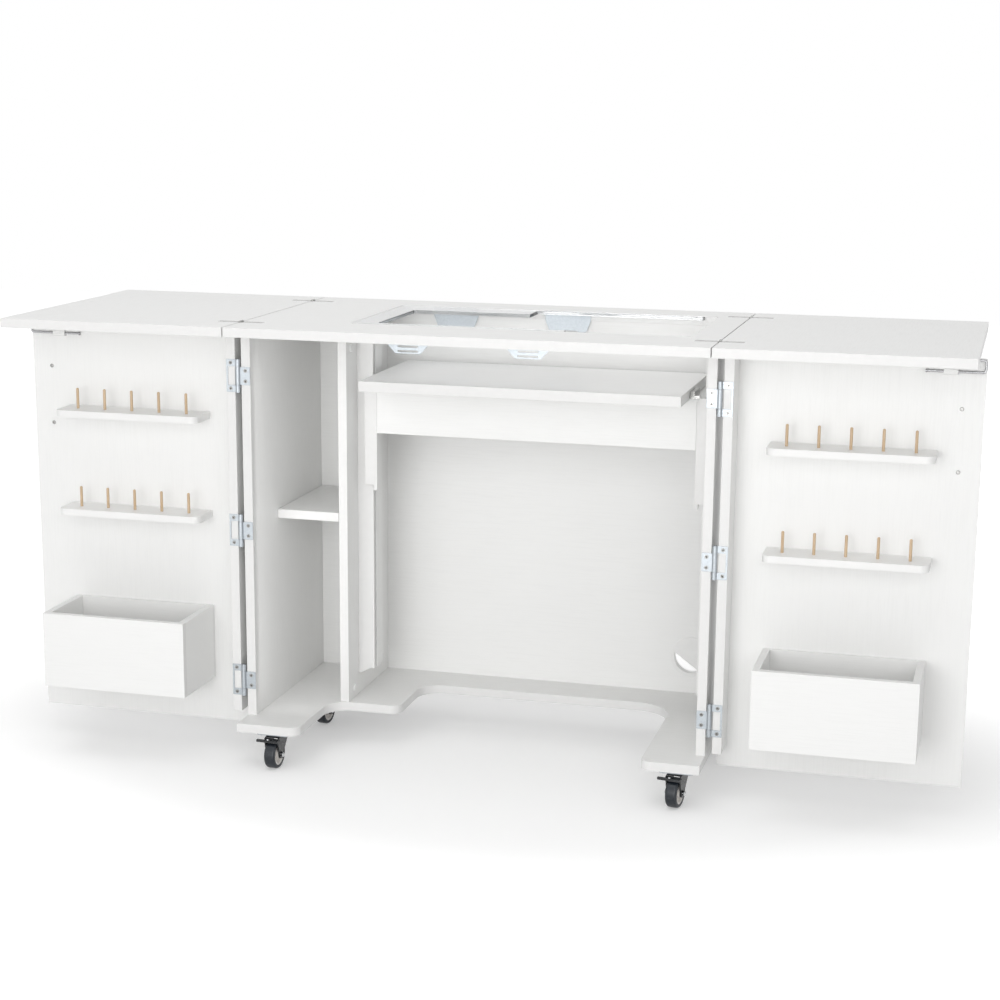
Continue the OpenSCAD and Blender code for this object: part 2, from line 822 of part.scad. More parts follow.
// Wire lock: a leg with a head at its inner end, a rise and a short return under the leaf
module wire_lock() {
    color(STEEL) translate([0, wire_y, 0]) {
        translate([0, 0, wire_z]) bar_x(wire_r, wire_x0, wire_x1);
        translate([0, 0, wire_z]) bar_x(wire_r + 1, wire_x0 - 2, wire_x0 + cut);
        translate([wire_x1, 0, wire_z]) sphere(r = wire_r);
        translate([wire_x1, 0, wire_z]) cylinder(r = wire_r, h = hoop_z - wire_z);
        translate([wire_x1, 0, hoop_z]) sphere(r = wire_r);
        translate([0, 0, hoop_z]) bar_x(wire_r, wire_x1 - wire_return, wire_x1);
        translate([wire_x1 - wire_return, 0, hoop_z]) sphere(r = wire_r);
    }
}

module left_wire_lock() { on_side(-1) wire_lock(); }
module right_wire_lock() { wire_lock(); }

// Grooved rail, placed with its outer face at x = 0 and its groove open towards +x
module lift_rail() {
    color(WHITE) difference() {
        span([0, rail_w], [rail_y0, rail_y1], [rail_z, top_under]);
        span([rail_w - groove_t, rail_w + cut],
            [groove_y - groove_w / 2, groove_y + groove_w / 2], [rail_z - cut, top_under + cut]);
        translate([0, rail_y1 + cut, 0]) rotate([90, 0, 0]) linear_extrude(rail_d + 2 * cut)
            polygon([
                [rail_foot_w, rail_z - cut], [rail_foot_w, rail_z],
                [rail_w - groove_t, rail_z + rail_cut_h], [rail_w + cut, rail_z + rail_cut_h],
                [rail_w + cut, rail_z - cut]
            ]);
    }
}

module left_lift_rail() { translate([divider_x1, 0, 0]) lift_rail(); }
module right_lift_rail() { translate([side_in, 0, 0]) mirror([1, 0, 0]) lift_rail(); }

// Bracket drawn for the right side of the lift's own middle plane: a front that laps over the rail,
// a web beside the rail with a tongue in its groove, and an arm back under the platform with a pad
// behind the rail, where the strut pushes
module lift_bracket() {
    web_x = bracket_x1 - web_t;
    foot_z = platform_under - bracket_l;
    union() {
        span([bracket_x0, bracket_x1 + bracket_lap], [lift_y0, lift_y0 + bracket_t],
            [foot_z + foot_step, platform_under]);
        span([bracket_x0, web_x], [lift_y0, lift_y0 + bracket_t], [foot_z, platform_under]);
        span([web_x, bracket_x1], [lift_y0, groove_y + tongue_w / 2],
            [foot_z + foot_step, platform_under]);
        span([bracket_x1 - cut, bracket_x1 + run_gap + tongue_t],
            [groove_y - tongue_w / 2, groove_y + tongue_w / 2],
            [foot_z + foot_step, platform_under]);
        span([bracket_x1 - arm_w, bracket_x1], [apron_y1, platform_y1 - 6],
            [platform_under - arm_t, platform_under]);
        span([bracket_x1 - cut, strut_x - lift_mid + strut_r],
            [strut_y - strut_r - 3, strut_y + strut_r + 3],
            [platform_under - arm_t, platform_under]);
    }
}

module left_lift_bracket() {
    color(WHITE) translate([lift_mid, 0, 0]) mirror([1, 0, 0]) lift_bracket();
}

module right_lift_bracket() {
    color(WHITE) translate([lift_mid, 0, 0]) lift_bracket();
}

module lift_platform() {
    color(WHITE) span([platform_x0, platform_x1], [platform_y0, platform_y1],
        [platform_under, platform_z]);
}

module lift_apron() {
    color(WHITE) span([lift_mid - bracket_x0, lift_mid + bracket_x0],
        [lift_y0, apron_y1], [platform_under - apron_h, platform_under]);
}

// Catch between the platform's right end and the right bracket
module lift_latch() {
    x = platform_x1;
    color(STEEL) {
        span([x, x + platform_in_right - 0.5], [lift_y0 - 22, lift_y0 + 30],
            [platform_under + 2, platform_z - 4]);
        span([x, x + platform_in_right + 8], [lift_y0 - 22, lift_y0 - 14],
            [platform_under + 2, platform_under + 8]);
    }
}

module gas_strut_cylinder() {
    color(BLACK) {
        translate([strut_x, strut_y, 0]) difference() {
            translate([0, 0, base_top]) cylinder(r = strut_r, h = strut_top - base_top);
            translate([0, 0, base_top + strut_end])
                cylinder(r = strut_r - strut_wall, h = strut_top - base_top - 2 * strut_end);
            translate([0, 0, base_top + strut_end]) cylinder(r = strut_rod_r + run, h = strut_top);
        }
        difference() {
            span([strut_x, side_in], [strut_y - strut_r - 3, strut_y + strut_r + 3],
                [strut_top - 60, strut_top - 40]);
            translate([strut_x, strut_y, 0]) cylinder(r = strut_r - 0.5, h = overall_h);
        }
    }
}

module gas_strut_rod() {
    color(STEEL) translate([strut_x, strut_y, 0]) {
        translate([0, 0, piston_z]) cylinder(r = strut_r - strut_wall - run, h = piston_h);
        translate([0, 0, piston_z])
            cylinder(r = strut_rod_r, h = platform_under - arm_t - piston_z);
    }
}

// Clear plate, open to the right: a left part, a narrow front strip and a stepped back strip
module acrylic_insert() {
    cut_x0 = insert_x0 + 43;
    step_x = opening_x0 + insert_step;
    front_strip = 16;
    back_strip = 73;
    back_strip_thin = 12;
    front_end_x = insert_bracket_xs[1] + 60;
    color(CLEAR) translate([0, 0, insert_under]) linear_extrude(insert_t) difference() {
        round_rect(insert_x0, insert_x1, insert_y0, insert_y1, opening_r);
        round_rect(cut_x0, insert_x1 + 2 * opening_r, insert_y0 + front_strip,
            opening_y1 - back_strip, 6);
        round_rect(step_x, insert_x1 + 2 * opening_r, insert_y0 + front_strip,
            opening_y1 - back_strip_thin, 6);
        translate([front_end_x, insert_y0 - cut])
            square([insert_x1 - front_end_x + cut, front_strip + 10]);
    }
}

// Children placed at one caster's swivel axis, turned as it stands at rest
module at_caster(i) {
    translate([caster_xs[i], caster_ys[i], 0]) rotate(caster_turns[i]) children();
}

module caster_plate() {
    rivet_z = fork_head_z1 - fork_head_t - slip;
    translate([-plate_size[0] / 2, -plate_size[1] / 2, caster_h - plate_t])
        cube([plate_size[0], plate_size[1], plate_t]);
    translate([0, 0, fork_head_z1 + 0.3])
        cylinder(r = race_r, h = caster_h - fork_head_z1 - 0.3 - cut);
    translate([0, 0, rivet_z - cut]) cylinder(r = kingpin_r, h = caster_h - rivet_z);
    translate([0, 0, rivet_z - 1.5]) cylinder(r = kingpin_r + 2.5, h = 1.5);
}

module caster_plates() {
    color(STEEL) for (i = [0 : 3]) translate([caster_xs[i], caster_ys[i], 0]) caster_plate();
}

// Side of a fork, as an outline in y and z
module fork_side_outline() {
    difference() {
        union() {
            polygon([
                [-trail - 6.4, wheel_r - 3], [-trail + 6.4, wheel_r - 3],
                [race_r + 2, fork_head_z1 - fork_head_t], [race_r + 2, fork_head_z1],
                [pedal_y + 3.5, fork_head_z1], [pedal_y - 4.5, pedal_z + 3],
                [pedal_y - 4.5, pedal_z - 4]
            ]);
            translate([-trail, wheel_r]) circle(7);
        }
        translate([pedal_y, pedal_z]) circle(pedal_pin_r + run);
    }
}

// Stamped fork with its head on the kingpin, and the axle with its head and nut
module caster_fork() {
    color(BLACK) {
        difference() {
            translate([-fork_in - fork_t, pedal_y + 3.5, fork_head_z1 - fork_head_t])
                cube([2 * (fork_in + fork_t), race_r + 2 - pedal_y - 3.5, fork_head_t]);
            translate([0, 0, fork_head_z1 - 2 * fork_head_t])
                cylinder(r = kingpin_r + run, h = 4 * fork_head_t);
        }
        for (x = [-fork_in - fork_t, fork_in]) sheet_x(x, fork_t) fork_side_outline();
        translate([0, -trail, wheel_r]) {
            bar_x(axle_r, -fork_in - fork_t - 3, fork_in + fork_t + 5);
            bar_x(5.5, -fork_in - fork_t - 3, -fork_in - fork_t);
            bar_x(5.5, fork_in + fork_t, fork_in + fork_t + 3.5);
        }
    }
}

// Wheel centre: rim, web and boss, about the axle
module caster_hub() {
    rim_w = tyre_w / 2 - 1;
    color(CREAM) translate([0, -trail, wheel_r]) rotate([0, 90, 0]) rotate_extrude() polygon([
        [axle_r + run, -tyre_w / 2], [8, -tyre_w / 2], [8, -4], [hub_r - 4, -4],
        [hub_r - 4, -rim_w], [hub_r, -rim_w], [hub_r, rim_w], [hub_r - 4, rim_w],
        [hub_r - 4, 4], [8, 4], [8, tyre_w / 2], [axle_r + run, tyre_w / 2]
    ]);
}

// Tread with rounded shoulders, a light fit on the rim
module caster_tyre() {
    shoulder = 4;
    flat = tyre_w / 2 - shoulder;
    color(BLACK) translate([0, -trail, wheel_r]) rotate([0, 90, 0]) rotate_extrude() {
        difference() {
            translate([hub_r + run, -tyre_w / 2]) square([wheel_r - hub_r - run, tyre_w]);
            corner_web(wheel_r, -tyre_w / 2, -1, 1, shoulder);
            corner_web(wheel_r, flat + shoulder, -1, -1, shoulder);
        }
    }
}

// Brake pedal: a lever on its pin between the fork's sides, and a wide lip in front
module brake_pedal() {
    lever = fork_in - 0.5;
    lip = [-26, 14];
    color(BLACK) {
        translate([0, pedal_y, pedal_z]) {
            bar_x(2.6, -lever, lever);
            bar_x(pedal_pin_r, -fork_in - fork_t - 1, fork_in + fork_t + 1);
        }
        span([-lever, lever], [pedal_front + 1, pedal_y], [pedal_z - 0.9, pedal_z + 0.9]);
        span(lip, [pedal_front, pedal_y - 5.5], [pedal_z - 0.9, pedal_z + 1.3]);
        span(lip, [pedal_front, pedal_front + 1.6], [pedal_z - 2.9, pedal_z + 1.3]);
    }
}

module front_left_fork() { at_caster(0) caster_fork(); }
module front_right_fork() { at_caster(1) caster_fork(); }
module rear_left_fork() { at_caster(2) caster_fork(); }
module rear_right_fork() { at_caster(3) caster_fork(); }
module front_left_hub() { at_caster(0) caster_hub(); }
module front_right_hub() { at_caster(1) caster_hub(); }
module rear_left_hub() { at_caster(2) caster_hub(); }
module rear_right_hub() { at_caster(3) caster_hub(); }
module front_left_tyre() { at_caster(0) caster_tyre(); }
module front_right_tyre() { at_caster(1) caster_tyre(); }
module rear_left_tyre() { at_caster(2) caster_tyre(); }
module rear_right_tyre() { at_caster(3) caster_tyre(); }
module front_left_brake_pedal() { at_caster(0) brake_pedal(); }
module front_right_brake_pedal() { at_caster(1) brake_pedal(); }

base_panel();
left_side_panel();
right_side_panel();
divider_panel();
back_panel();
book_shelf();
shelf_pins();
centre_top();
left_lift_rail();
right_lift_rail();
insert_brackets();
cable_grommet();
cover_caps();
leaf_hinge_fixed_wings();
door_hinge_fixed_wings();
gas_strut_cylinder();
caster_plates();
left_leaf_panel();
left_leaf_hinge_wings();
right_leaf_panel();
right_leaf_hinge_wings();
left_door_panel();
left_hinge_strip();
left_hinge_frames();
left_thread_shelves();
left_thread_pegs();
left_bin();
left_door_handle();
left_wire_clip();
right_door_panel();
right_hinge_strip();
right_hinge_frames();
right_thread_shelves();
right_thread_pegs();
right_bin();
right_door_handle();
right_wire_clip();
lift_platform();
lift_apron();
left_lift_bracket();
right_lift_bracket();
gas_strut_rod();
lift_latch();
left_wire_lock();
right_wire_lock();
acrylic_insert();
front_left_fork();
front_right_fork();
rear_left_fork();
rear_right_fork();
front_left_hub();
front_right_hub();
rear_left_hub();
rear_right_hub();
front_left_tyre();
front_right_tyre();
rear_left_tyre();
rear_right_tyre();
front_left_brake_pedal();
front_right_brake_pedal();
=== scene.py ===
"""Looks of the open sewing cabinet: boards, hardware, casters and insert, in a white studio."""

import json
import logging
import math
from dataclasses import dataclass
from enum import Enum
from typing import Callable, Iterable, Sequence

import bpy
from bpy.types import Material, Mesh, Node, NodeSocket, NodeTree, Object, World
from mathutils import Matrix, Vector

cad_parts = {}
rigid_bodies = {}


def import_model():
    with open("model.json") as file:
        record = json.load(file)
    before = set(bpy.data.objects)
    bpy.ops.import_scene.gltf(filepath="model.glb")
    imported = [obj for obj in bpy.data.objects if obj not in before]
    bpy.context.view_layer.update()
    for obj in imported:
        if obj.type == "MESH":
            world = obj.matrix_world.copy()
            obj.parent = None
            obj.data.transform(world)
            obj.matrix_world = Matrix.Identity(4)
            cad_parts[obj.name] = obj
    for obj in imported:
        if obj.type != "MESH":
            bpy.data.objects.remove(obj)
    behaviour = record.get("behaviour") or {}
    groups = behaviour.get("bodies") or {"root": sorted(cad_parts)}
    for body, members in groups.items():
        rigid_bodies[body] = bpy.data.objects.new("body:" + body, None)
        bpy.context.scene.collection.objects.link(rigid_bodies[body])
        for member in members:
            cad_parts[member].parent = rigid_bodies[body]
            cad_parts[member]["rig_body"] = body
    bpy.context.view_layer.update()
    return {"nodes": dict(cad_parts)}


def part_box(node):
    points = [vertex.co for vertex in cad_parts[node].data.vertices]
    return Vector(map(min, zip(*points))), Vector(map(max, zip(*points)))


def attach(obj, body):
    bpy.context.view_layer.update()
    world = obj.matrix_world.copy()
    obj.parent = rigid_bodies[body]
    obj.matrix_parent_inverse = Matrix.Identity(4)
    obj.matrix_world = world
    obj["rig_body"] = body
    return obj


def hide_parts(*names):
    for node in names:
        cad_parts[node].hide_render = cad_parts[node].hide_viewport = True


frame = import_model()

log = logging.getLogger("sewing_cabinet")

MM = 0.001

Point = Sequence[float]
Triple = tuple[float, float, float]
Span = tuple[float, float]


class Side(Enum):
    """The two sides of the cabinet, as the sign of their x."""

    LEFT = -1
    RIGHT = 1

    @property
    def word(self) -> str:
        """The side's name, as the node names have it."""
        return self.name.lower()


class Axis(Enum):
    """The three directions of the frame."""

    X = 0
    Y = 1
    Z = 2

    @property
    def vector(self) -> Vector:
        """The unit vector along the axis."""
        return Vector([1.0 if i == self.value else 0.0 for i in range(3)])


# Shaders


class NodeDesk:
    """Lays out the nodes of one shader tree."""

    def __init__(self, owner: Material | World) -> None:
        """Opens a node tree and empties it.

        Args:
            owner: The material or the world that has the tree.
        """
        owner.use_nodes = True
        self.tree: NodeTree = owner.node_tree
        self.tree.nodes.clear()

    def add(self, kind: str, *sources: NodeSocket, **settings: object) -> Node:
        """Adds one shader node.

        Args:
            kind: Its type, without the first word that all of them share.
            *sources: Outputs that lead into its first inputs, in order.
            **settings: Its own properties.

        Returns:
            The node.
        """
        node = self.tree.nodes.new(f"ShaderNode{kind}")
        for name, value in settings.items():
            setattr(node, name, value)
        for source, entry in zip(sources, node.inputs):
            self.join(source, entry)
        return node

    def join(self, start: NodeSocket, end: NodeSocket) -> None:
        """Links an output to an input."""
        self.tree.links.new(start, end)

    def preset(self, node: Node, **values: object) -> Node:
        """Sets plain values on a node's inputs.

        Args:
            node: The node.
            **values: Input names with underscores for spaces, and their values.

        Returns:
            The node.
        """
        for name, value in values.items():
            node.inputs[name.replace("_", " ")].default_value = value
        return node

    def spread(self, value: NodeSocket, low: float, high: float,
               to_low: float = 0.0, to_high: float = 1.0) -> NodeSocket:
        """Maps a value's range onto another range, clamped.

        Args:
            value: The value to map.
            low: Start of its range.
            high: End of its range.
            to_low: What low becomes.
            to_high: What high becomes.

        Returns:
            The mapped value.
        """
        mapper = self.add("MapRange", value)
        self.preset(mapper, From_Min=low, From_Max=high, To_Min=to_low, To_Max=to_high)
        return mapper.outputs["Result"]

    def maths(self, operation: str, first: NodeSocket, second: NodeSocket) -> NodeSocket:
        """The result of an operation on two values."""
        return self.add("Math", first, second, operation=operation).outputs[0]


class ShaderDesk(NodeDesk):
    """Lays out the nodes of one material round its main shader."""

    def __init__(self, name: str) -> None:
        """Starts an empty material.

        Args:
            name: Its name.
        """
        self.material = bpy.data.materials.new(name)
        super().__init__(self.material)
        self.shader = self.add("BsdfPrincipled")
        self.add("OutputMaterial", self.shader.outputs["BSDF"])
        self.place = self.add("TexCoord").outputs["Object"]

    def fix(self, **values: object) -> None:
        """Sets plain values on the main shader's own sockets."""
        self.preset(self.shader, **values)

    def noise(self, scale: float, detail: float = 3.0, stretch: Point = (1, 1, 1),
              roughness: float = 0.55) -> NodeSocket:
        """Noise over the object's own coordinates.

        Args:
            scale: Features per metre.
            detail: Octaves of finer noise.
            stretch: Extra scale along x, y and z.
            roughness: Strength of the finer octaves.

        Returns:
            The noise's value.
        """
        mapping = self.preset(self.add("Mapping", self.place), Scale=stretch)
        texture = self.add("TexNoise", mapping.outputs["Vector"])
        self.preset(texture, Scale=scale, Detail=detail, Roughness=roughness)
        return texture.outputs["Fac"]

    def colour(self, factor: NodeSocket, low: float, high: float, first: Point,
               second: Point) -> None:
        """Leads a blend of two colours into the main shader.

        Args:
            factor: The value that chooses between them.
            low: Where it gives the first colour alone.
            high: Where it gives the second colour alone.
            first: Red, green and blue.
            second: Red, green and blue.
        """
        mixer = self.add("Mix", self.spread(factor, low, high), data_type="RGBA")
        colours = [s for s in mixer.inputs if s.type == "RGBA"]
        colours[0].default_value = (*first, 1.0)
        colours[1].default_value = (*second, 1.0)
        result = next(s for s in mixer.outputs if s.type == "RGBA")
        self.join(result, self.shader.inputs["Base Color"])

    def gloss(self, value: NodeSocket, low: float, high: float, smoothest: float,
              roughest: float) -> None:
        """Leads a roughness, spread between two bounds, into the main shader."""
        roughness = self.spread(value, low, high, smoothest, roughest)
        self.join(roughness, self.shader.inputs["Roughness"])

    def relief(self, height: NodeSocket, depth: float, strength: float = 1.0) -> None:
        """Turns a height into bumps on the main shader.

        Args:
            height: The height, from 0 to 1.
            depth: Height of the bumps in metres.
            strength: How much of the bumps shows.
        """
        bump = self.preset(self.add("Bump"), Distance=depth, Strength=strength)
        self.join(height, bump.inputs["Height"])
        self.join(bump.outputs["Normal"], self.shader.inputs["Normal"])


@dataclass(frozen=True)
class Melamine:
    """White melamine board face with a fine embossed grain along one axis."""

    name: str
    grain: Axis
    tint: Triple = (0.872, 0.872, 0.862)
    shade: Triple = (0.856, 0.856, 0.846)
    emboss: float = 0.00004

    def make(self) -> Material:
        """Builds the finish: pores along the grain, faint clouding and a satin sheen.

        Returns:
            The material.
        """
        desk = ShaderDesk(self.name)
        along = [0.035 if axis is self.grain else 1.0 for axis in Axis]
        pores = desk.noise(520.0, 4.0, along, 0.62)
        fine = desk.spread(pores, 0.46, 0.60)
        clouds = desk.noise(5.0, 2.0)
        desk.colour(desk.maths("MULTIPLY", fine, clouds), 0.1, 0.55, self.tint, self.shade)
        desk.gloss(fine, 0.0, 1.0, 0.36, 0.48)
        desk.relief(fine, self.emboss, 0.25)
        desk.fix(Specular_IOR_Level=0.4)
        return desk.material


@dataclass(frozen=True)
class EdgeBand:
    """Plain glued edge band, smoother than the board's face."""

    name: str = "edge_band"
    tint: Triple = (0.806, 0.803, 0.795)
    shade: Triple = (0.793, 0.790, 0.782)

    def make(self) -> Material:
        """Builds the finish: a faint ripple from the planer and a soft gloss.

        Returns:
            The material.
        """
        desk = ShaderDesk(self.name)
        ripple = desk.noise(90.0, 3.0)
        desk.colour(ripple, 0.35, 0.65, self.tint, self.shade)
        desk.gloss(ripple, 0.3, 0.7, 0.30, 0.42)
        desk.relief(ripple, 0.00003, 0.4)
        desk.fix(Specular_IOR_Level=0.45)
        return desk.material


@dataclass(frozen=True)
class PaintedBoard:
    """White satin paint over a smooth board, for shelves with rounded edges."""

    name: str = "painted_board"
    tint: Triple = (0.87, 0.868, 0.858)

    def make(self) -> Material:
        """Builds the finish: paint with a faint orange-peel relief.

        Returns:
            The material.
        """
        desk = ShaderDesk(self.name)
        peel = desk.noise(700.0, 2.0)
        wide = desk.noise(14.0, 2.0)
        darker = tuple(0.965 * c for c in self.tint)
        desk.colour(wide, 0.3, 0.7, self.tint, darker)
        desk.gloss(wide, 0.3, 0.7, 0.33, 0.43)
        desk.relief(peel, 0.00003, 0.5)
        return desk.material


@dataclass(frozen=True)
class PlatedSteel:
    """Plated steel: zinc with its faint spangle, or brighter chrome."""

    name: str
    tint: Triple
    shade: Triple
    rough_low: float
    rough_high: float

    def make(self) -> Material:
        """Builds the finish: spangle in tone, and fine rolling marks in the gloss.

        Returns:
            The material.
        """
        desk = ShaderDesk(self.name)
        spangle = desk.noise(420.0, 3.0)
        marks = desk.noise(1500.0, 2.0, (1, 1, 0.06))
        desk.colour(spangle, 0.35, 0.68, self.tint, self.shade)
        desk.gloss(marks, 0.3, 0.7, self.rough_low, self.rough_high)
        desk.relief(spangle, 0.00002, 0.35)
        desk.fix(Metallic=1.0)
        return desk.material


@dataclass(frozen=True)
class Moulded:
    """Moulded plastic with the fine spark texture of its mould."""

    name: str
    tint: Triple
    shade: Triple
    rough: float
    spark: float = 0.00004

    def make(self) -> Material:
        """Builds the finish: fine grain, with slow changes of tone.

        Returns:
            The material.
        """
        desk = ShaderDesk(self.name)
        grain = desk.noise(1800.0, 2.0)
        slow = desk.noise(60.0, 2.0)
        desk.colour(slow, 0.35, 0.65, self.tint, self.shade)
        desk.gloss(slow, 0.3, 0.7, self.rough - 0.05, self.rough + 0.05)
        desk.relief(grain, self.spark, 0.5)
        return desk.material


@dataclass(frozen=True)
class BlackPaint:
    """Black powder paint on pressed steel, with slightly polished high spots."""

    name: str = "black_paint"

    def make(self) -> Material:
        """Builds the finish: orange peel with a clear gloss.

        Returns:
            The material.
        """
        desk = ShaderDesk(self.name)
        peel = desk.noise(420.0, 3.0)
        rub = desk.noise(45.0, 4.0)
        desk.colour(rub, 0.52, 0.72, (0.010, 0.011, 0.013), (0.028, 0.030, 0.034))
        desk.gloss(rub, 0.3, 0.7, 0.22, 0.36)
        desk.relief(peel, 0.00012, 0.35)
        desk.fix(Coat_Weight=0.25, Coat_Roughness=0.15)
        return desk.material


@dataclass(frozen=True)
class DarkTread:
    """Blue-black polyurethane tread with light scuffs round its running face."""

    name: str = "dark_tread"

    def make(self) -> Material:
        """Builds the finish: satin rubber with dust in the scuffs.

        Returns:
            The material.
        """
        desk = ShaderDesk(self.name)
        scuffs = desk.noise(160.0, 5.0, (1, 1, 1), 0.7)
        desk.colour(scuffs, 0.55, 0.75, (0.012, 0.016, 0.022), (0.050, 0.054, 0.060))
        desk.gloss(scuffs, 0.3, 0.7, 0.30, 0.46)
        desk.relief(scuffs, 0.00008, 0.5)
        return desk.material


@dataclass(frozen=True)
class Birch:
    """Bare birch dowel with grain along z."""

    name: str = "birch_dowel"

    def make(self) -> Material:
        """Builds the finish: long fibres in two tones.

        Returns:
            The material.
        """
        desk = ShaderDesk(self.name)
        fibre = desk.noise(900.0, 4.0, (1, 1, 0.05), 0.6)
        desk.colour(fibre, 0.35, 0.65, (0.66, 0.50, 0.34), (0.52, 0.37, 0.23))
        desk.gloss(fibre, 0.3, 0.7, 0.48, 0.62)
        desk.relief(fibre, 0.00008, 0.5)
        return desk.material


@dataclass(frozen=True)
class ClearAcrylic:
    """Clear cast acrylic with hardly any tint."""

    name: str = "clear_acrylic"

    def make(self) -> Material:
        """Builds the finish: clear, with faint wiping marks in the gloss.

        Returns:
            The material.
        """
        desk = ShaderDesk(self.name)
        wiped = desk.noise(35.0, 3.0, (1, 4, 1))
        desk.gloss(wiped, 0.3, 0.7, 0.02, 0.07)
        desk.fix(Base_Color=(0.95, 0.965, 0.975, 1.0), IOR=1.49, Transmission_Weight=1.0)
        return desk.material


class FinishRack:
    """Holds each finish of the cabinet, made once."""

    def __init__(self) -> None:
        """Makes every material."""
        self.board = {axis: Melamine(f"melamine_{axis.name.lower()}", axis).make() for axis in Axis}
        self.back_board = Melamine("melamine_back", Axis.X, emboss=0.0001).make()
        self.band = EdgeBand().make()
        self.painted = PaintedBoard().make()
        self.zinc = PlatedSteel(
            "zinc_plate", (0.42, 0.45, 0.475), (0.36, 0.39, 0.415), 0.38, 0.48,
        ).make()
        self.wire_steel = PlatedSteel(
            "wire_steel", (0.40, 0.40, 0.41), (0.32, 0.32, 0.33), 0.22, 0.32,
        ).make()
        self.screw_steel = PlatedSteel(
            "screw_steel", (0.36, 0.36, 0.35), (0.28, 0.28, 0.27), 0.20, 0.30,
        ).make()
        self.chrome = PlatedSteel(
            "bright_chrome", (0.80, 0.81, 0.82), (0.74, 0.75, 0.77), 0.08, 0.16,
        ).make()
        self.black_paint = BlackPaint().make()
        self.white_plastic = Moulded(
            "white_plastic", (0.86, 0.86, 0.85), (0.83, 0.83, 0.82), 0.36,
        ).make()
        self.cream = Moulded("cream_nylon", (0.84, 0.81, 0.79), (0.79, 0.76, 0.73), 0.33).make()
        self.tread = DarkTread().make()
        self.birch = Birch().make()
        self.acrylic = ClearAcrylic().make()


# Modelling


def deselect() -> None:
    """Clears the selection, so that an operator acts only on what is chosen next."""
    bpy.ops.object.select_all(action="DESELECT")


def focus(piece: Object) -> None:
    """Selects one object alone and makes it active.

    Args:
        piece: The object.
    """
    deselect()
    piece.select_set(True)
    bpy.context.view_layer.objects.active = piece


def settle(piece: Object) -> Object:
    """Moves an object's place, turn and scale into its mesh.

    Args:
        piece: The object.

    Returns:
        The same object, at the origin.
    """
    focus(piece)
    bpy.ops.object.transform_apply(location=True, rotation=True, scale=True)
    return piece


def named(name: str) -> Object:
    """Names the object that was just added and settles it.

    Args:
        name: Its name.

    Returns:
        The object.
    """
    piece = bpy.context.object
    piece.name = name
    piece.data.name = name
    return settle(piece)


def apply_modifier(piece: Object, kind: str, **settings: object) -> None:
    """Adds a modifier, sets it and applies it.

    Args:
        piece: The object.
        kind: Blender's name of the modifier's type.
        **settings: The modifier's own properties.
    """
    focus(piece)
    modifier = piece.modifiers.new(kind.lower(), kind)
    for name, value in settings.items():
        setattr(modifier, name, value)
    bpy.ops.object.modifier_apply(modifier=modifier.name)


def soften(piece: Object, width: float, steps: int = 2, angle: float = 35.0) -> Object:
    """Rounds every edge that is sharper than an angle.

    Args:
        piece: The object.
        width: Width of the rounding.
        steps: Faces across it.
        angle: The angle in degrees.

    Returns:
        The same object.
    """
    apply_modifier(
        piece, "BEVEL", width=width, segments=steps, limit_method="ANGLE",
        angle_limit=math.radians(angle), use_clamp_overlap=True,
    )
    return piece


def smooth(piece: Object, angle: float = 50.0) -> Object:
    """Smooths curved faces and keeps the flat ones flat.

    Args:
        piece: The object.
        angle: Edges sharper than this many degrees stay sharp.

    Returns:
        The same object.
    """
    focus(piece)
    bpy.ops.object.shade_smooth_by_angle(angle=math.radians(angle))
    apply_modifier(piece, "WEIGHTED_NORMAL", keep_sharp=True, weight=60)
    return piece


def block(name: str, low: Point, high: Point) -> Object:
    """Adds a box between two corners.

    Args:
        name: The object's name.
        low: Its lowest corner.
        high: Its highest corner.

    Returns:
        The box.
    """
    low, high = Vector(low), Vector(high)
    deselect()
    bpy.ops.mesh.primitive_cube_add(size=1, location=(low + high) / 2, scale=high - low)
    return named(name)


def rod(name: str, start: Point, end: Point, radius: float,
        sides: int = 32) -> Object:
    """Adds a round rod between two points.

    Args:
        name: The object's name.
        start: Middle of one end.
        end: Middle of the other end.
        radius: Its radius.
        sides: Faces round it.

    Returns:
        The rod.
    """
    start, end = Vector(start), Vector(end)
    turn = (end - start).to_track_quat("Z", "Y").to_euler()
    deselect()
    bpy.ops.mesh.primitive_cylinder_add(
        vertices=sides, radius=radius, depth=(end - start).length, location=(start + end) / 2,
        rotation=turn,
    )
    return named(name)


def join(name: str, pieces: Sequence[Object]) -> Object:
    """Joins objects into one.

    Args:
        name: The joined object's name.
        pieces: The objects.

    Returns:
        The joined object.
    """
    deselect()
    for piece in pieces:
        piece.select_set(True)
    bpy.context.view_layer.objects.active = pieces[0]
    if len(pieces) > 1:
        bpy.ops.object.join()
    return named(name)


def cut(piece: Object, cutter: Object) -> Object:
    """Cuts one object's shape out of another and removes the cutter.

    Args:
        piece: What is cut.
        cutter: The shape taken away.

    Returns:
        The cut object.
    """
    apply_modifier(piece, "BOOLEAN", operation="DIFFERENCE", object=cutter, solver="EXACT")
    bpy.data.objects.remove(cutter)
    return piece


def pick_none(piece: Object, kind: str) -> None:
    """Sets what edit mode selects on an object and leaves none of it selected.

    Args:
        piece: The object.
        kind: EDGE or FACE.
    """
    focus(piece)
    bpy.ops.object.mode_set(mode="EDIT")
    bpy.ops.mesh.select_mode(type=kind)
    bpy.ops.mesh.select_all(action="DESELECT")
    bpy.ops.object.mode_set(mode="OBJECT")


def pick_edges(piece: Object, test: Callable[[Vector, Vector], bool]) -> None:
    """Selects the edges that pass a test, ready for edit mode.

    Args:
        piece: The object.
        test: Called with each edge's middle and its direction.
    """
    pick_none(piece, "EDGE")
    for edge in piece.data.edges:
        first, second = (piece.data.vertices[i].co for i in edge.vertices)
        if test((first + second) / 2, (second - first).normalized()):
            edge.select = True


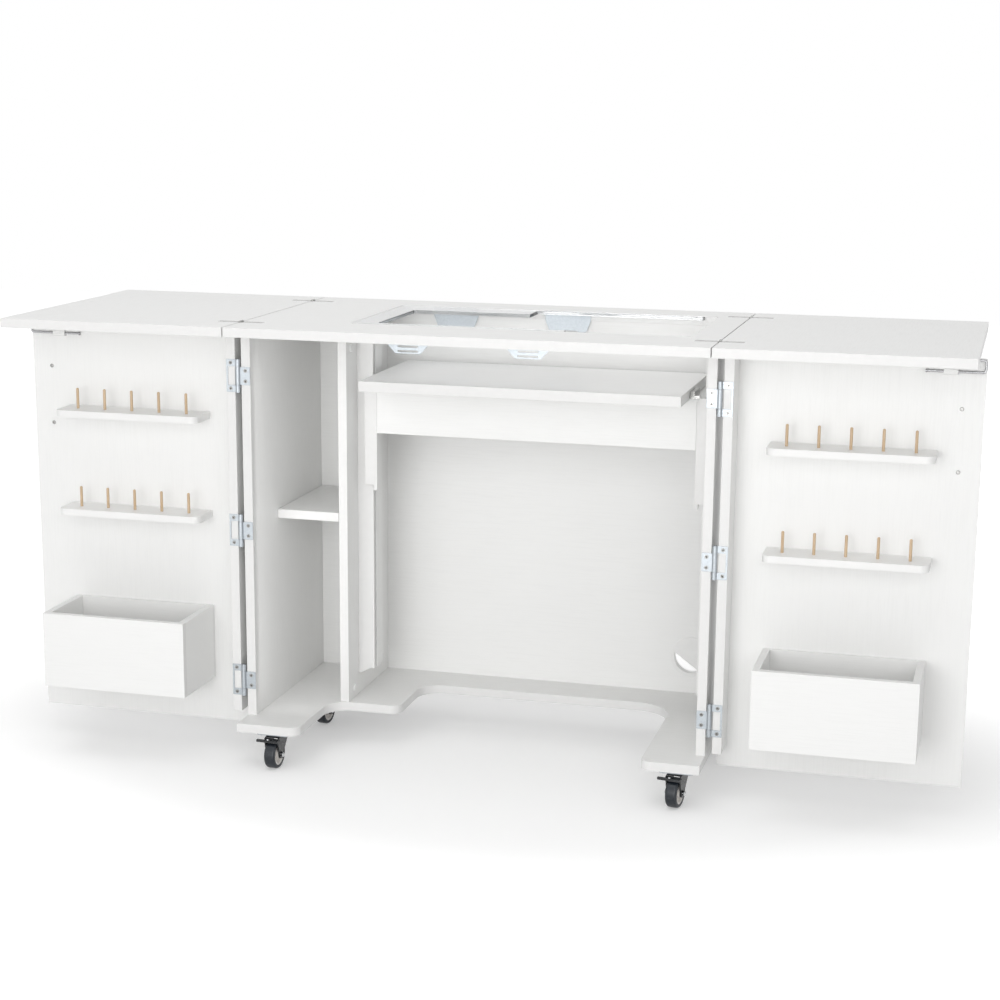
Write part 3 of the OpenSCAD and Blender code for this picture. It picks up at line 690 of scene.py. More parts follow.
def pick_faces(piece: Object, test: Callable[[Vector, Vector], bool]) -> None:
    """Selects the faces that pass a test, ready for edit mode.

    Args:
        piece: The object.
        test: Called with each face's middle and its normal.
    """
    pick_none(piece, "FACE")
    for face in piece.data.polygons:
        face.select = test(face.center, face.normal)


def inset_picked(steps: Iterable[Span], each: bool) -> None:
    """Insets the faces that were picked on the active object, over and over.

    Args:
        steps: The width and the depth of each inset.
        each: Whether each face is inset on its own.
    """
    bpy.ops.object.mode_set(mode="EDIT")
    for width, depth in steps:
        bpy.ops.mesh.inset(thickness=width, depth=depth, use_individual=each)
    bpy.ops.object.mode_set(mode="OBJECT")


def bevel_picked(width: float, steps: int) -> None:
    """Rounds the edges that were picked on the active object.

    Args:
        width: Width of the rounding.
        steps: Faces across it.
    """
    bpy.ops.object.mode_set(mode="EDIT")
    bpy.ops.mesh.bevel(offset=width, segments=steps, affect="EDGES")
    bpy.ops.object.mode_set(mode="OBJECT")


def round_rim(piece: Object, height: float, width: float, steps: int) -> Object:
    """Rounds the upper rim of an upright rod that stands on the origin.

    Args:
        piece: The rod.
        height: Its height above the origin.
        width: Width of the rounding.
        steps: Faces across it.

    Returns:
        The same object.
    """
    pick_edges(piece, lambda middle, way: middle.z > height * 0.9 and abs(way.z) < 0.1)
    bevel_picked(width, steps)
    return piece


def round_corners(piece: Object, axis: Axis, radius: float,
                  test: Callable[[Vector], bool] = lambda middle: True, steps: int = 5) -> Object:
    """Rounds the corners whose edges run along an axis.

    Args:
        piece: The object.
        axis: The direction of the edges.
        radius: The corners' radius.
        test: Called with an edge's middle, to leave some out.
        steps: Faces across a corner.

    Returns:
        The same object.
    """
    pick_edges(piece, lambda middle, way: abs(way.dot(axis.vector)) > 0.99 and test(middle))
    bevel_picked(radius, steps)
    return piece


def face_outwards(piece: Object) -> Object:
    """Merges doubled points and turns every face outwards.

    Args:
        piece: The object.

    Returns:
        The same object.
    """
    focus(piece)
    bpy.ops.object.mode_set(mode="EDIT")
    bpy.ops.mesh.select_all(action="SELECT")
    bpy.ops.mesh.remove_doubles(threshold=1e-6)
    bpy.ops.mesh.normals_make_consistent(inside=False)
    bpy.ops.object.mode_set(mode="OBJECT")
    return piece


def arc_path(corners: Sequence[Point], bend: float, steps: int = 7) -> list[Vector]:
    """Points along straight runs joined by round bends.

    Args:
        corners: The ends and corners of the runs.
        bend: Radius of the bends.
        steps: Stretches in a bend.

    Returns:
        The points.
    """
    points = [Vector(c) for c in corners]
    path = [points[0]]
    for before, corner, after in zip(points, points[1:], points[2:]):
        back, ahead = (before - corner).normalized(), (after - corner).normalized()
        half = back.angle(ahead) / 2
        reach = bend / math.tan(half)
        centre = corner + (back + ahead).normalized() * bend / math.sin(half)
        first = (corner + back * reach - centre).normalized()
        last = (corner + ahead * reach - centre).normalized()
        path += [centre + first.slerp(last, i / steps) * bend for i in range(steps + 1)]
    return path + [points[-1]]


def wire(name: str, corners: Sequence[Point], radius: float, bend: float) -> Object:
    """Bends a round wire along straight runs.

    Args:
        name: The object's name.
        corners: The ends and corners of the runs.
        radius: The wire's radius.
        bend: Radius of the bends, along the wire's middle.

    Returns:
        The wire, as a mesh.
    """
    deselect()
    bpy.ops.curve.primitive_bezier_curve_add()
    piece = bpy.context.object
    piece.location = (0, 0, 0)
    curve = piece.data
    curve.splines.clear()
    path = arc_path(corners, bend)
    spline = curve.splines.new("POLY")
    spline.points.add(len(path) - 1)
    for point, place in zip(spline.points, path):
        point.co = (*place, 1.0)
    curve.dimensions = "3D"
    curve.bevel_depth = radius
    curve.bevel_resolution = 6
    curve.use_fill_caps = True
    focus(piece)
    bpy.ops.object.convert(target="MESH")
    return face_outwards(named(name))


def copied(node: str, name: str) -> Object:
    """Copies a frame node into a piece of its own, its triangles merged into faces.

    Args:
        node: The node's name.
        name: The piece's name.

    Returns:
        The piece, without materials.
    """
    piece = bpy.data.objects.new(name, frame["nodes"][node].data.copy())
    piece.data.name = name
    piece.data.materials.clear()
    bpy.context.scene.collection.objects.link(piece)
    focus(piece)
    bpy.ops.mesh.customdata_custom_splitnormals_clear()
    bpy.ops.object.mode_set(mode="EDIT")
    bpy.ops.mesh.select_all(action="SELECT")
    bpy.ops.mesh.remove_doubles(threshold=1e-5)
    bpy.ops.mesh.dissolve_limited(angle_limit=math.radians(0.5))
    bpy.ops.object.mode_set(mode="OBJECT")
    return piece


def stamp(master: Object, name: str, places: Iterable[Matrix]) -> Object:
    """Copies a master shape to several places, each copy with its own mesh, and joins them.

    Args:
        master: The shape, modelled at the origin.
        name: The joined object's name.
        places: A matrix for each copy.

    Returns:
        The joined copies.
    """
    copies = []
    for place in places:
        mesh = master.data.copy()
        mesh.transform(place)
        copy = bpy.data.objects.new(name, mesh)
        bpy.context.scene.collection.objects.link(copy)
        copies.append(copy)
    return join(name, copies)


def facing(at: Point, way: Point, turn: float = 0.0) -> Matrix:
    """A matrix that stands a shape's +z along a way, turned about it by degrees."""
    stand = Vector(way).to_track_quat("Z", "Y").to_matrix().to_4x4()
    return Matrix.Translation(Vector(at)) @ stand @ Matrix.Rotation(math.radians(turn), 4, "Z")


# Handing pieces over


def paint(piece: Object, *materials: Material) -> Object:
    """Gives a piece its materials.

    Args:
        piece: The piece.
        *materials: Its materials, in the order of its slots.

    Returns:
        The piece.
    """
    piece.data.materials.clear()
    for material in materials:
        piece.data.materials.append(material)
    return piece


def fit(piece: Object, body: str) -> Object:
    """Lets a new piece ride on a body and reports it.

    Args:
        piece: The finished piece.
        body: The body that carries it.

    Returns:
        The piece.
    """
    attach(piece, body)
    log.info("%s rides on %s, %d faces", piece.name, body, len(piece.data.polygons))
    return piece


def stand_for(piece: Object, *nodes: str) -> Object:
    """Lets a piece take the place of frame nodes of one body.

    Args:
        piece: The finished piece.
        *nodes: The nodes that it stands for.

    Returns:
        The piece.
    """
    fit(piece, frame["nodes"][nodes[0]]["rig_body"])
    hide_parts(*nodes)
    return piece


def dress_copy(node: str, name: str, finish: Material, ease: float, steps: int = 2,
               edge: float = 35.0, sharp: float = 40.0) -> None:
    """Makes the piece for a node from its own shape, in one finish, with eased edges."""
    piece = paint(soften(copied(node, name), ease, steps, edge), finish)
    stand_for(smooth(piece, sharp), node)


# Boards


@dataclass
class BoardShop:
    """Turns the frame's boards into melamine boards with eased, banded edges."""

    finishes: FinishRack
    ease: float = 0.7 * MM

    def axes(self, node: str) -> tuple[Axis, Axis]:
        """The axes of a board's thickness and of its grain.

        Args:
            node: The board's node.

        Returns:
            The thinnest axis and the longest axis.
        """
        low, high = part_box(node)
        sizes = high - low
        order = sorted(Axis, key=lambda axis: sizes[axis.value])
        return order[0], order[-1]

    def band_edges(self, piece: Object, thin: Axis, face: Material) -> None:
        """Paints a board's faces as board and its narrow sides as edge band.

        Args:
            piece: The board.
            thin: The axis of its thickness.
            face: The finish of its faces.
        """
        paint(piece, face, self.finishes.band)
        for polygon in piece.data.polygons:
            polygon.material_index = 0 if abs(polygon.normal.dot(thin.vector)) > 0.9 else 1

    def shape(self, node: str) -> Object:
        """Copies a board and eases its edges."""
        return soften(copied(node, f"{node}_board"), self.ease)

    def dress(self, node: str, face: Material | None = None) -> Object:
        """Makes the board that stands for a node.

        Args:
            node: The board's node.
            face: The finish of its faces, if it isn't the plain one.

        Returns:
            The board.
        """
        thin, grain = self.axes(node)
        piece = self.shape(node)
        self.band_edges(piece, thin, face or self.finishes.board[grain])
        return stand_for(smooth(piece), node)

    def assemble(self, node: str, parts: Sequence[tuple[Point, Point]]) -> Object:
        """Makes one piece of several plain boards, so that their joints show.

        Args:
            node: The node that it stands for.
            parts: The lowest and highest corner of each board, in metres.

        Returns:
            The piece.
        """
        boards = []
        for low, high in parts:
            board = soften(block(f"{node}_part", low, high), 0.5 * MM)
            sizes = Vector(high) - Vector(low)
            thin = min(Axis, key=lambda axis: sizes[axis.value])
            self.band_edges(board, thin, self.finishes.board[Axis.X])
            boards.append(smooth(board))
        return stand_for(join(f"{node}_boards", boards), node)


# Small hardware


class Fastener(Enum):
    """The kinds of fastener heads that show."""

    COUNTERSUNK = "countersunk"
    PAN = "pan"
    SMALL_PAN = "small_pan"
    RIVET = "rivet"


class FastenerBox:
    """Models each kind of fastener head once, standing on the origin along +z."""

    def __init__(self) -> None:
        """Models every head."""
        self.masters = {
            Fastener.COUNTERSUNK: self.crossed(3.3 * MM, 0.5 * MM, 0.2 * MM, 1.9 * MM),
            Fastener.PAN: self.crossed(4.5 * MM, 2.0 * MM, 1.3 * MM, 2.3 * MM),
            Fastener.SMALL_PAN: self.crossed(3.4 * MM, 1.6 * MM, 1.0 * MM, 1.8 * MM),
            Fastener.RIVET: self.domed("rivet_head", 2.6 * MM, 1.3 * MM, 1.0 * MM),
        }

    def domed(self, name: str, radius: float, height: float, rounding: float) -> Object:
        """Models a head with a rounded rim, and returns it."""
        head = rod(name, (0, 0, -0.1 * MM), (0, 0, height), radius, 24)
        return round_rim(head, height, rounding, 3)

    def crossed(self, radius: float, height: float, rounding: float, arm: float) -> Object:
        """Models a head with a cross recess.

        Args:
            radius: The head's radius.
            height: Its height.
            rounding: Width of its rim's rounding.
            arm: Length of the recess's arms from the middle.

        Returns:
            The head.
        """
        head = self.domed("crossed_head", radius, height, rounding)
        depth = max(height * 0.55, 0.5 * MM)
        for long_x, long_y in ((arm, 0.45 * MM), (0.45 * MM, arm)):
            low, high = (-long_x, -long_y, height - depth), (long_x, long_y, height + MM)
            cut(head, block("cross_arm", low, high))
        return head

    def place(self, kind: Fastener, name: str, places: Iterable[Matrix], metal: Material,
              body: str) -> Object:
        """Puts copies of one kind of head in their places and lets the group ride on a body."""
        heads = paint(stamp(self.masters[kind], name, places), metal)
        return fit(smooth(heads, 40), body)

    def clear_away(self) -> None:
        """Removes the masters once every copy stands."""
        for master in self.masters.values():
            bpy.data.objects.remove(master)


@dataclass
class TableTop:
    """The fixed centre top, both leaves, and the flush hinges between them."""

    shop: BoardShop
    fasteners: FastenerBox
    strap_end: float = 7.5 * MM
    screw_setbacks: Span = (12 * MM, 31 * MM)
    countersink: float = 3.7 * MM
    sink_depth: float = 3.2 * MM
    sink_drop: float = 1.25 * MM
    head_drop: float = 0.55 * MM
    screw_turns: tuple[int, ...] = (18, 64, 41, 77, 5, 33, 52, 80)

    def hinge_screws(self, node: str) -> list[Vector]:
        """Where the screws of one strap node stand, on its upper face.

        Args:
            node: The strap's node.

        Returns:
            The middle of each screw.
        """
        low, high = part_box(node)
        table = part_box("centre_top")[1].z
        seam = (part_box("centre_top")[1].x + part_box("right_leaf_panel")[0].x) / 2
        rows = (low.y + self.strap_end, high.y - self.strap_end)
        fixed = node.startswith("leaf_")
        sides = (-1, 1) if fixed else (int(math.copysign(1, low.x)),)
        inwards = -1 if fixed else 1
        return [
            Vector((side * (seam + inwards * setback), y, table))
            for side in sides for y in rows for setback in self.screw_setbacks
        ]

    def strap(self, node: str) -> None:
        """Makes the straps and knuckles of one node, with countersunk screws.

        Args:
            node: The node.
        """
        piece = soften(copied(node, f"{node}_straps"), 0.18 * MM)
        places = self.hinge_screws(node)
        sinks = []
        for place in places:
            deselect()
            bpy.ops.mesh.primitive_cone_add(
                vertices=24, radius1=0.9 * MM, radius2=self.countersink + 0.35 * MM,
                depth=self.sink_depth, location=place - Vector((0, 0, self.sink_drop)),
            )
            sinks.append(named("countersink"))
        for sink in sinks:
            cut(piece, sink)
        paint(piece, self.shop.finishes.screw_steel)
        stand_for(smooth(piece, 35), node)
        body = frame["nodes"][node]["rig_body"]
        self.fasteners.place(
            Fastener.COUNTERSUNK, f"{node}_screws",
            [facing(p - Vector((0, 0, self.head_drop)), (0, 0, 1), t)
             for p, t in zip(places, self.screw_turns)],
            self.shop.finishes.screw_steel, body,
        )

    def build(self) -> None:
        """Makes the top, the leaves and their hinges."""
        for node in ("centre_top", "left_leaf_panel", "right_leaf_panel"):
            self.shop.dress(node)
        for node in ("leaf_hinge_fixed_wings", "left_leaf_hinge_wings", "right_leaf_hinge_wings"):
            self.strap(node)


@dataclass
class Carcass:
    """The base, sides, divider, back and book shelf, with the small fittings in them."""

    shop: BoardShop
    slot_setback: float = 48 * MM
    slot_bottom: float = 493 * MM
    slot_height: float = 13 * MM
    slot_width: float = 2.6 * MM
    slot_depth: float = 3 * MM
    cap_radius: float = 7 * MM
    cap_height: float = 2.9 * MM

    def divider(self) -> None:
        """Makes the divider, with the catch slot in its right face and a black block at the slot's
        bottom as painted shade.
        """
        node = "divider_panel"
        thin, grain = self.shop.axes(node)
        piece = self.shop.shape(node)
        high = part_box(node)[1]
        middle = high.y - self.slot_setback
        start = (high.x - self.slot_depth, middle - self.slot_width / 2, self.slot_bottom)
        end = (high.x + MM, middle + self.slot_width / 2, self.slot_bottom + self.slot_height)
        cut(piece, block("slot_cutter", start, end))
        self.shop.band_edges(piece, thin, self.shop.finishes.board[grain])
        stand_for(smooth(piece), node)
        # Painted shade: a black block lines the slot's bottom so that the slot reads darker than
        # its depth shades it.
        slot_shade_block = block("divider_slot_liner", start, (high.x - 0.4 * MM, end[1], end[2]))
        soften(slot_shade_block, 0.2 * MM)
        paint(slot_shade_block, self.shop.finishes.black_paint)
        fit(smooth(slot_shade_block), "carcass")

    def caps(self) -> None:
        """Makes the round screw caps on the divider's right face."""
        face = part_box("cover_caps")[0].x
        centres = self.islands(frame["nodes"]["cover_caps"].data)
        cap = rod("cap", (0, 0, -0.1 * MM), (0, 0, self.cap_height), self.cap_radius, 40)
        round_rim(cap, self.cap_height, self.cap_height * 0.8, 5)
        places = [facing((face, c.y, c.z), (1, 0, 0)) for c in centres]
        caps = stamp(cap, "divider_screw_caps", places)
        bpy.data.objects.remove(cap)
        paint(caps, self.shop.finishes.white_plastic)
        stand_for(smooth(caps), "cover_caps")

    def islands(self, mesh: Mesh) -> list[Vector]:
        """The middles of the separate solids in a node of equal small solids.

        Args:
            mesh: The node's mesh.

        Returns:
            One middle for each solid.
        """
        groups: list[list[Vector]] = []
        reach = 3 * self.cap_radius
        for vertex in mesh.vertices:
            near = next((g for g in groups if (g[0] - vertex.co).length < reach), None)
            if near is None:
                groups.append([vertex.co.copy()])
            else:
                near.append(vertex.co.copy())
        middles = []
        for group in groups:
            lows = [min(v[i] for v in group) for i in range(3)]
            highs = [max(v[i] for v in group) for i in range(3)]
            middles.append((Vector(lows) + Vector(highs)) / 2)
        return middles

    def build(self) -> None:
        """Makes the whole carcass."""
        for node in ("base_panel", "left_side_panel", "right_side_panel", "book_shelf"):
            self.shop.dress(node)
        self.shop.dress("back_panel", self.shop.finishes.back_board)
        self.divider()
        self.caps()
        plastic, zinc = self.shop.finishes.white_plastic, self.shop.finishes.zinc
        dress_copy("cable_grommet", "cable_grommet_ring", plastic, 0.5 * MM, 3)
        dress_copy("shelf_pins", "book_shelf_pins", zinc, 0.4 * MM)


@dataclass
class DoorHinges:
    """The framed hinges between the side panels and the doors' strips."""

    finishes: FinishRack
    fasteners: FastenerBox
    arm_middle: float = 22.1 * MM
    wing_screw: float = 9 * MM
    wing_screw_in: float = 8.2 * MM
    strip_screw_in: float = 7.6 * MM
    frame_half: float = 28.8 * MM
    wing_thickness: float = 1.3 * MM
    metal_ease: float = 0.2 * MM

    def heights(self, node: str) -> list[float]:
        """The heights of the hinges' middles.

        Args:
            node: The frames' node.

        Returns:
            The three heights.
        """
        low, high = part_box(node)
        first, last = low.z + self.frame_half, high.z - self.frame_half
        return [first, (first + last) / 2, last]

    def build(self) -> None:
        """Makes the wings, frames, pins and their screws on both sides."""
        zinc, ease = self.finishes.zinc, self.metal_ease
        dress_copy("door_hinge_fixed_wings", "door_hinge_side_wings", zinc, ease, sharp=35)
        wing_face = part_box("left_hinge_strip")[0].y - self.wing_thickness
        out = (0, -1, 0)
        fixed_places = []
        for side in Side:
            node = f"{side.word}_hinge_frames"
            dress_copy(node, f"{side.word}_door_hinge_frames", zinc, ease, sharp=35)
            strip_low, strip_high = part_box(f"{side.word}_hinge_strip")
            inner = min(abs(strip_low.x), abs(strip_high.x))
            x = side.value * (inner + self.strip_screw_in)
            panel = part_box(f"{side.word}_side_panel")
            edge = side.value * (min(abs(panel[0].x), abs(panel[1].x)) + self.wing_screw_in)
            places = []
            for i, z in enumerate(self.heights(node)):
                for way in (-1, 1):
                    place = (x, wing_face, z + way * self.arm_middle)
                    places.append(facing(place, out, 20 + 33 * i + 21 * way))
                    place = (edge, wing_face, z + way * self.wing_screw)
                    fixed_places.append(facing(place, out, 50 + 27 * i + 15 * way))
            self.fasteners.place(
                Fastener.COUNTERSUNK, f"{side.word}_hinge_frame_screws", places,
                self.finishes.screw_steel, f"{side.word}_door",
            )
        self.fasteners.place(
            Fastener.COUNTERSUNK, "door_hinge_wing_screws", fixed_places,
            self.finishes.screw_steel, "carcass",
        )


@dataclass
class Door:
    """One storage door: panel, strip, thread shelves with pegs, bin, handle and wire lock."""

    side: Side
    shop: BoardShop
    fasteners: FastenerBox
    peg_radius: float = 2.5 * MM
    peg_root: float = 5 * MM
    pegs: int = 5
    board: float = 12 * MM
    back: float = 6 * MM
    bar_radius: float = 5 * MM
    post_radius: float = 4 * MM
    post_inset: float = 8 * MM
    foot_height: float = 1.6 * MM
    wire_radius: float = 2 * MM
    wire_bend: float = 5 * MM
    wire_end: float = 2 * MM
    hoop_reach: float = 17 * MM
    bin_seam: float = 0.15 * MM

    def node(self, name: str) -> str:
        """The name of one of this side's nodes."""
        return f"{self.side.word}_{name}"

    def out(self, name: str) -> Span:
        """How far out from the cabinet's middle a node's ends are.

        Args:
            name: The node's name without its side.

        Returns:
            The distances of its inner and its outer end.
        """
        low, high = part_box(self.node(name))
        ends = sorted((abs(low.x), abs(high.x)))
        return ends[0], ends[1]

    def peg_row(self) -> None:
        """Makes the pegs: birch dowels with rounded tips."""
        node = self.node("thread_pegs")
        low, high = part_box(node)
        radius = self.peg_radius
        pitch = (high.x - low.x - 2 * radius) / (self.pegs - 1)
        shelf_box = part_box(self.node("thread_shelves"))
        length = high.z - shelf_box[1].z
        peg = rod("peg", (0, 0, -self.peg_root), (0, 0, length), radius, 20)
        round_rim(peg, length, radius * 0.8, 4)
        lower_top = shelf_box[0].z + self.board
        middle_y = (low.y + high.y) / 2
        places = [
            Matrix.Translation((low.x + radius + i * pitch, middle_y, top))
            for top in (lower_top, shelf_box[1].z) for i in range(self.pegs)
        ]
        pegs = stamp(peg, self.node("birch_pegs"), places)
        bpy.data.objects.remove(peg)
        paint(pegs, self.shop.finishes.birch)
        stand_for(smooth(pegs, 40), node)

    def bin(self) -> None:
        """Makes the bin of a front, two ends, a floor and a thin back."""
        low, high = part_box(self.node("bin"))
        t = self.board
        inner_y = high.y - self.back
        seam = self.bin_seam
        self.shop.assemble(self.node("bin"), [
            ((low.x, low.y, low.z), (high.x, low.y + t, high.z)),
            ((low.x, low.y + t + seam, low.z), (low.x + t, inner_y - seam, high.z)),
            ((high.x - t, low.y + t + seam, low.z), (high.x, inner_y - seam, high.z)),
            ((low.x + t, low.y + t, low.z), (high.x - t, inner_y, low.z + t)),
            ((low.x, inner_y, low.z), (high.x, high.y, high.z)),
        ])

    def handle(self) -> None:
        """Makes the bar handle with footed posts, and the screw heads on the inner face."""
        node = self.node("door_handle")
        low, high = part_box(node)
        x = (low.x + high.x) / 2
        bar_y = high.y - self.bar_radius
        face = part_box(self.node("door_panel"))
        bar = rod("bar", (x, bar_y, low.z), (x, bar_y, high.z), self.bar_radius, 32)
        parts = [soften(bar, 1.4 * MM, 3)]
        heads = []
        for z in (low.z + self.post_inset, high.z - self.post_inset):
            parts.append(rod("post", (x, face[1].y, z), (x, bar_y, z), self.post_radius, 28))
            foot = rod("foot", (x, face[1].y, z), (x, face[1].y + self.foot_height, z),
                       self.post_radius + 2 * MM, 28)
            parts.append(soften(foot, 0.6 * MM, 2))
            heads.append(facing((x, face[0].y, z), (0, -1, 0), 30 + 40 * len(heads)))
        handle = paint(join(self.node("bar_handle"), parts), self.shop.finishes.zinc)
        stand_for(smooth(handle, 40), node)
        self.fasteners.place(
            Fastener.SMALL_PAN, self.node("handle_screws"), heads, self.shop.finishes.screw_steel,
            self.node("door"),
        )

    def wire_lock(self) -> None:
        """Bends the wire lock, with a pressed head on its inner end."""
        node = self.node("wire_lock")
        low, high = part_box(node)
        sign = self.side.value
        r = self.wire_radius
        inner, outer = self.out("wire_lock")
        inner += self.wire_end
        outer -= r
        y = low.y + r + MM
        leg_z = low.z + r + MM
        hoop_z = high.z - r
        corners = [
            (sign * inner, y, leg_z), (sign * outer, y, leg_z),
            (sign * outer, y, hoop_z), (sign * (outer - self.hoop_reach), y, hoop_z),
        ]
        rod_wire = wire(self.node("wire"), corners, r, self.wire_bend)
        start, end = (sign * (inner - 1.6 * MM), y, leg_z), (sign * (inner + MM), y, leg_z)
        head = soften(rod("wire_head", start, end, r + MM, 24), 0.6 * MM, 3)
        piece = join(self.node("bent_wire_lock"), [rod_wire, head])
        paint(piece, self.shop.finishes.wire_steel)
        stand_for(smooth(piece, 40), node)

    def wire_clip(self) -> None:
        """Makes the white saddle clip, rounded over the wire."""
        node = self.node("wire_clip")
        piece = copied(node, self.node("saddle_clip"))
        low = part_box(node)[0]
        round_corners(piece, Axis.X, 2.6 * MM, lambda middle: middle.y < low.y + MM)
        soften(piece, 0.5 * MM)
        paint(piece, self.shop.finishes.white_plastic)
        stand_for(smooth(piece, 35), node)

    def build(self) -> None:
        """Makes the whole door."""
        self.shop.dress(self.node("door_panel"))
        self.shop.dress(self.node("hinge_strip"))
        dress_copy(
            self.node("thread_shelves"), self.node("thread_shelf_boards"),
            self.shop.finishes.painted, 1.4 * MM, 3,
        )
        self.peg_row()
        self.bin()
        self.handle()
        self.wire_lock()
        self.wire_clip()


@dataclass
class MachineLift:
    """The rails, the platform with its apron and brackets, the latch and the gas strut."""

    shop: BoardShop

    def build(self) -> None:
        """Makes the lift."""
        for node in ("left_lift_rail", "right_lift_rail", "lift_platform", "lift_apron",
                     "left_lift_bracket", "right_lift_bracket"):
            self.shop.dress(node)
        finishes = self.shop.finishes
        dress_copy("lift_latch", "platform_catch", finishes.screw_steel, 0.7 * MM)
        dress_copy("gas_strut_cylinder", "strut_cylinder", finishes.black_paint, 0.8 * MM)
        dress_copy("gas_strut_rod", "strut_rod", finishes.chrome, 0.4 * MM)


@dataclass
class Insert:
    """The clear insert and the brackets under its edges."""

    finishes: FinishRack

    def build(self) -> None:
        """Makes the insert and its brackets."""
        acrylic, zinc = self.finishes.acrylic, self.finishes.zinc
        dress_copy("acrylic_insert", "clear_insert_plate", acrylic, 0.6 * MM, sharp=35)
        dress_copy("insert_brackets", "insert_carrier_brackets", zinc, 0.2 * MM, sharp=35)


@dataclass(frozen=True)
class CasterPost:
    """Where one caster swivels, and its turn at rest."""

    name: str
    x: float
    y: float
    turn: float
    braked: bool

    @property
    def matrix(self) -> Matrix:
        """The matrix from the caster's own frame to the cabinet's."""
        turn = Matrix.Rotation(math.radians(self.turn), 4, "Z")
        return Matrix.Translation((self.x, self.y, 0)) @ turn


@dataclass
class Casters:
    """Four swivel casters, two of them with a brake pedal."""

    finishes: FinishRack
    fasteners: FastenerBox
    posts: tuple[CasterPost, ...] = (
        CasterPost("front_left", -344 * MM, -201.5 * MM, -4, True),
        CasterPost("front_right", 368 * MM, -201.5 * MM, -10, True),
        CasterPost("rear_left", -344 * MM, 63 * MM, -8, False),
        CasterPost("rear_right", 368 * MM, 63 * MM, -6, False),
    )
    trail: float = 12 * MM
    wheel: float = 25 * MM
    rim: float = 19 * MM
    tread_width: float = 20 * MM
    tread_round: float = 4 * MM
    plate: Span = (60 * MM, 50 * MM)
    plate_under: float = 61.5 * MM
    plate_top: float = 64 * MM
    race_radius: float = 17 * MM
    fork_top: float = 58 * MM
    fork_side: float = 13.2 * MM
    pin_span: Span = (54.9 * MM, 63 * MM)
    pin_radius: float = 3.9 * MM
    pin_head: Span = (53.3 * MM, 54.8 * MM)
    pin_head_radius: float = 6.4 * MM
    cover_radius: float = 15 * MM
    hub_steps: tuple[Span, ...] = (
        (3.6 * MM, 0.0), (0.5 * MM, -5 * MM), (6.4 * MM, 0.0), (0.6 * MM, 6 * MM),
    )
    rib_reach: Span = (7.5 * MM, 15.3 * MM)
    ribs: int = 6
    nut_steps: tuple[Span, ...] = (
        (0.8 * MM, 0.0), (1.2 * MM, 1.9 * MM), (2.2 * MM, 1.5 * MM),
    )
    end_height: float = 2.6 * MM
    plate_hole: Span = (22 * MM, 17 * MM)
    pedal_rivet: Triple = (-6 * MM, -25.2 * MM, 53.6 * MM)

    def plate_master(self) -> Object:
        """Models the top plate with its ball race and kingpin.

        Returns:
            The master, in the caster's own frame.
        """
        half_x, half_y = self.plate[0] / 2, self.plate[1] / 2
        low, high = (-half_x, -half_y, self.plate_under), (half_x, half_y, self.plate_top)
        plate = block("plate", low, high)
        round_corners(plate, Axis.Z, 6 * MM)
        soften(plate, 0.4 * MM)
        foot = self.fork_top + 0.4 * MM
        race = rod("race", (0, 0, foot), (0, 0, self.plate_under), self.race_radius, 48)
        soften(race, 1.3 * MM, 3)
        pin, head = (
            rod(name, (0, 0, low), (0, 0, high), radius, 28)
            for name, (low, high), radius in (
                ("kingpin", self.pin_span, self.pin_radius),
                ("kingpin_head", self.pin_head, self.pin_head_radius),
            )
        )
        return join("plate_master", [plate, race, pin, soften(head, 0.6 * MM)])

    def tyre_master(self) -> Object:
        """Models the tread, round the x axis at the origin.

        Returns:
            The master.
        """
        half = self.tread_width / 2
        tyre = rod("tyre_master", (-half, 0, 0), (half, 0, 0), self.wheel, 72)
        pick_faces(tyre, lambda middle, normal: abs(normal.x) > 0.9)
        bpy.ops.object.mode_set(mode="EDIT")
        bpy.ops.mesh.inset(thickness=self.wheel - self.rim, depth=0.0, use_individual=True)
        bpy.ops.mesh.bridge_edge_loops()
        bpy.ops.object.mode_set(mode="OBJECT")
        pick_edges(tyre, lambda middle, way: abs(middle.x) > half * 0.99
                   and math.hypot(middle.y, middle.z) > self.wheel * 0.97)
        bevel_picked(self.tread_round, 5)
        return face_outwards(tyre)

    def hub_master(self) -> Object:
        """Models the wheel's centre: rim, recessed web with ribs, and boss.

        Returns:
            The master, round the x axis at the origin.
        """
        half = self.tread_width / 2 - MM
        hub = rod("hub", (-half, 0, 0), (half, 0, 0), self.rim, 64)
        pick_faces(hub, lambda middle, normal: abs(normal.x) > 0.9)
        inset_picked(self.hub_steps, True)
        soften(hub, 0.5 * MM)
        ribs = []
        rib_half = half - 1.6 * MM
        low = (-rib_half, self.rib_reach[0], -0.8 * MM)
        high = (rib_half, self.rib_reach[1], 0.8 * MM)
        for i in range(self.ribs):
            rib = soften(block("rib", low, high), 0.3 * MM, 1)
            rib.data.transform(Matrix.Rotation(math.radians(360 / self.ribs * i + 12), 4, "X"))
            ribs.append(rib)
        return join("hub_master", [hub, *ribs])

    def axle_nut(self) -> Object:
        """Models the pointed nut and the flat head at the axle's ends.

        Returns:
            The pair, in the caster's own frame.
        """
        side, end = self.fork_side, self.fork_side + self.end_height
        nut = rod("nut", (side, 0, 0), (end, 0, 0), 6 * MM, 6)
        pick_faces(nut, lambda middle, normal: normal.x > 0.9)
        inset_picked(self.nut_steps, False)
        soften(nut, 0.3 * MM)
        head = soften(rod("axle_head", (-end, 0, 0), (-side, 0, 0), 5.5 * MM, 28), 0.9 * MM, 3)
        pair = join("axle_ends", [nut, head])
        pair.data.transform(Matrix.Translation((0, -self.trail, self.wheel)))
        return pair

    def stand_in(self, master: Object, post: CasterPost, node: str, name: str,
                 finish: Material) -> None:
        """Puts a copy of a master in one caster, in place of a node."""
        piece = paint(stamp(master, name, [post.matrix]), finish)
        stand_for(smooth(piece, 38), node)

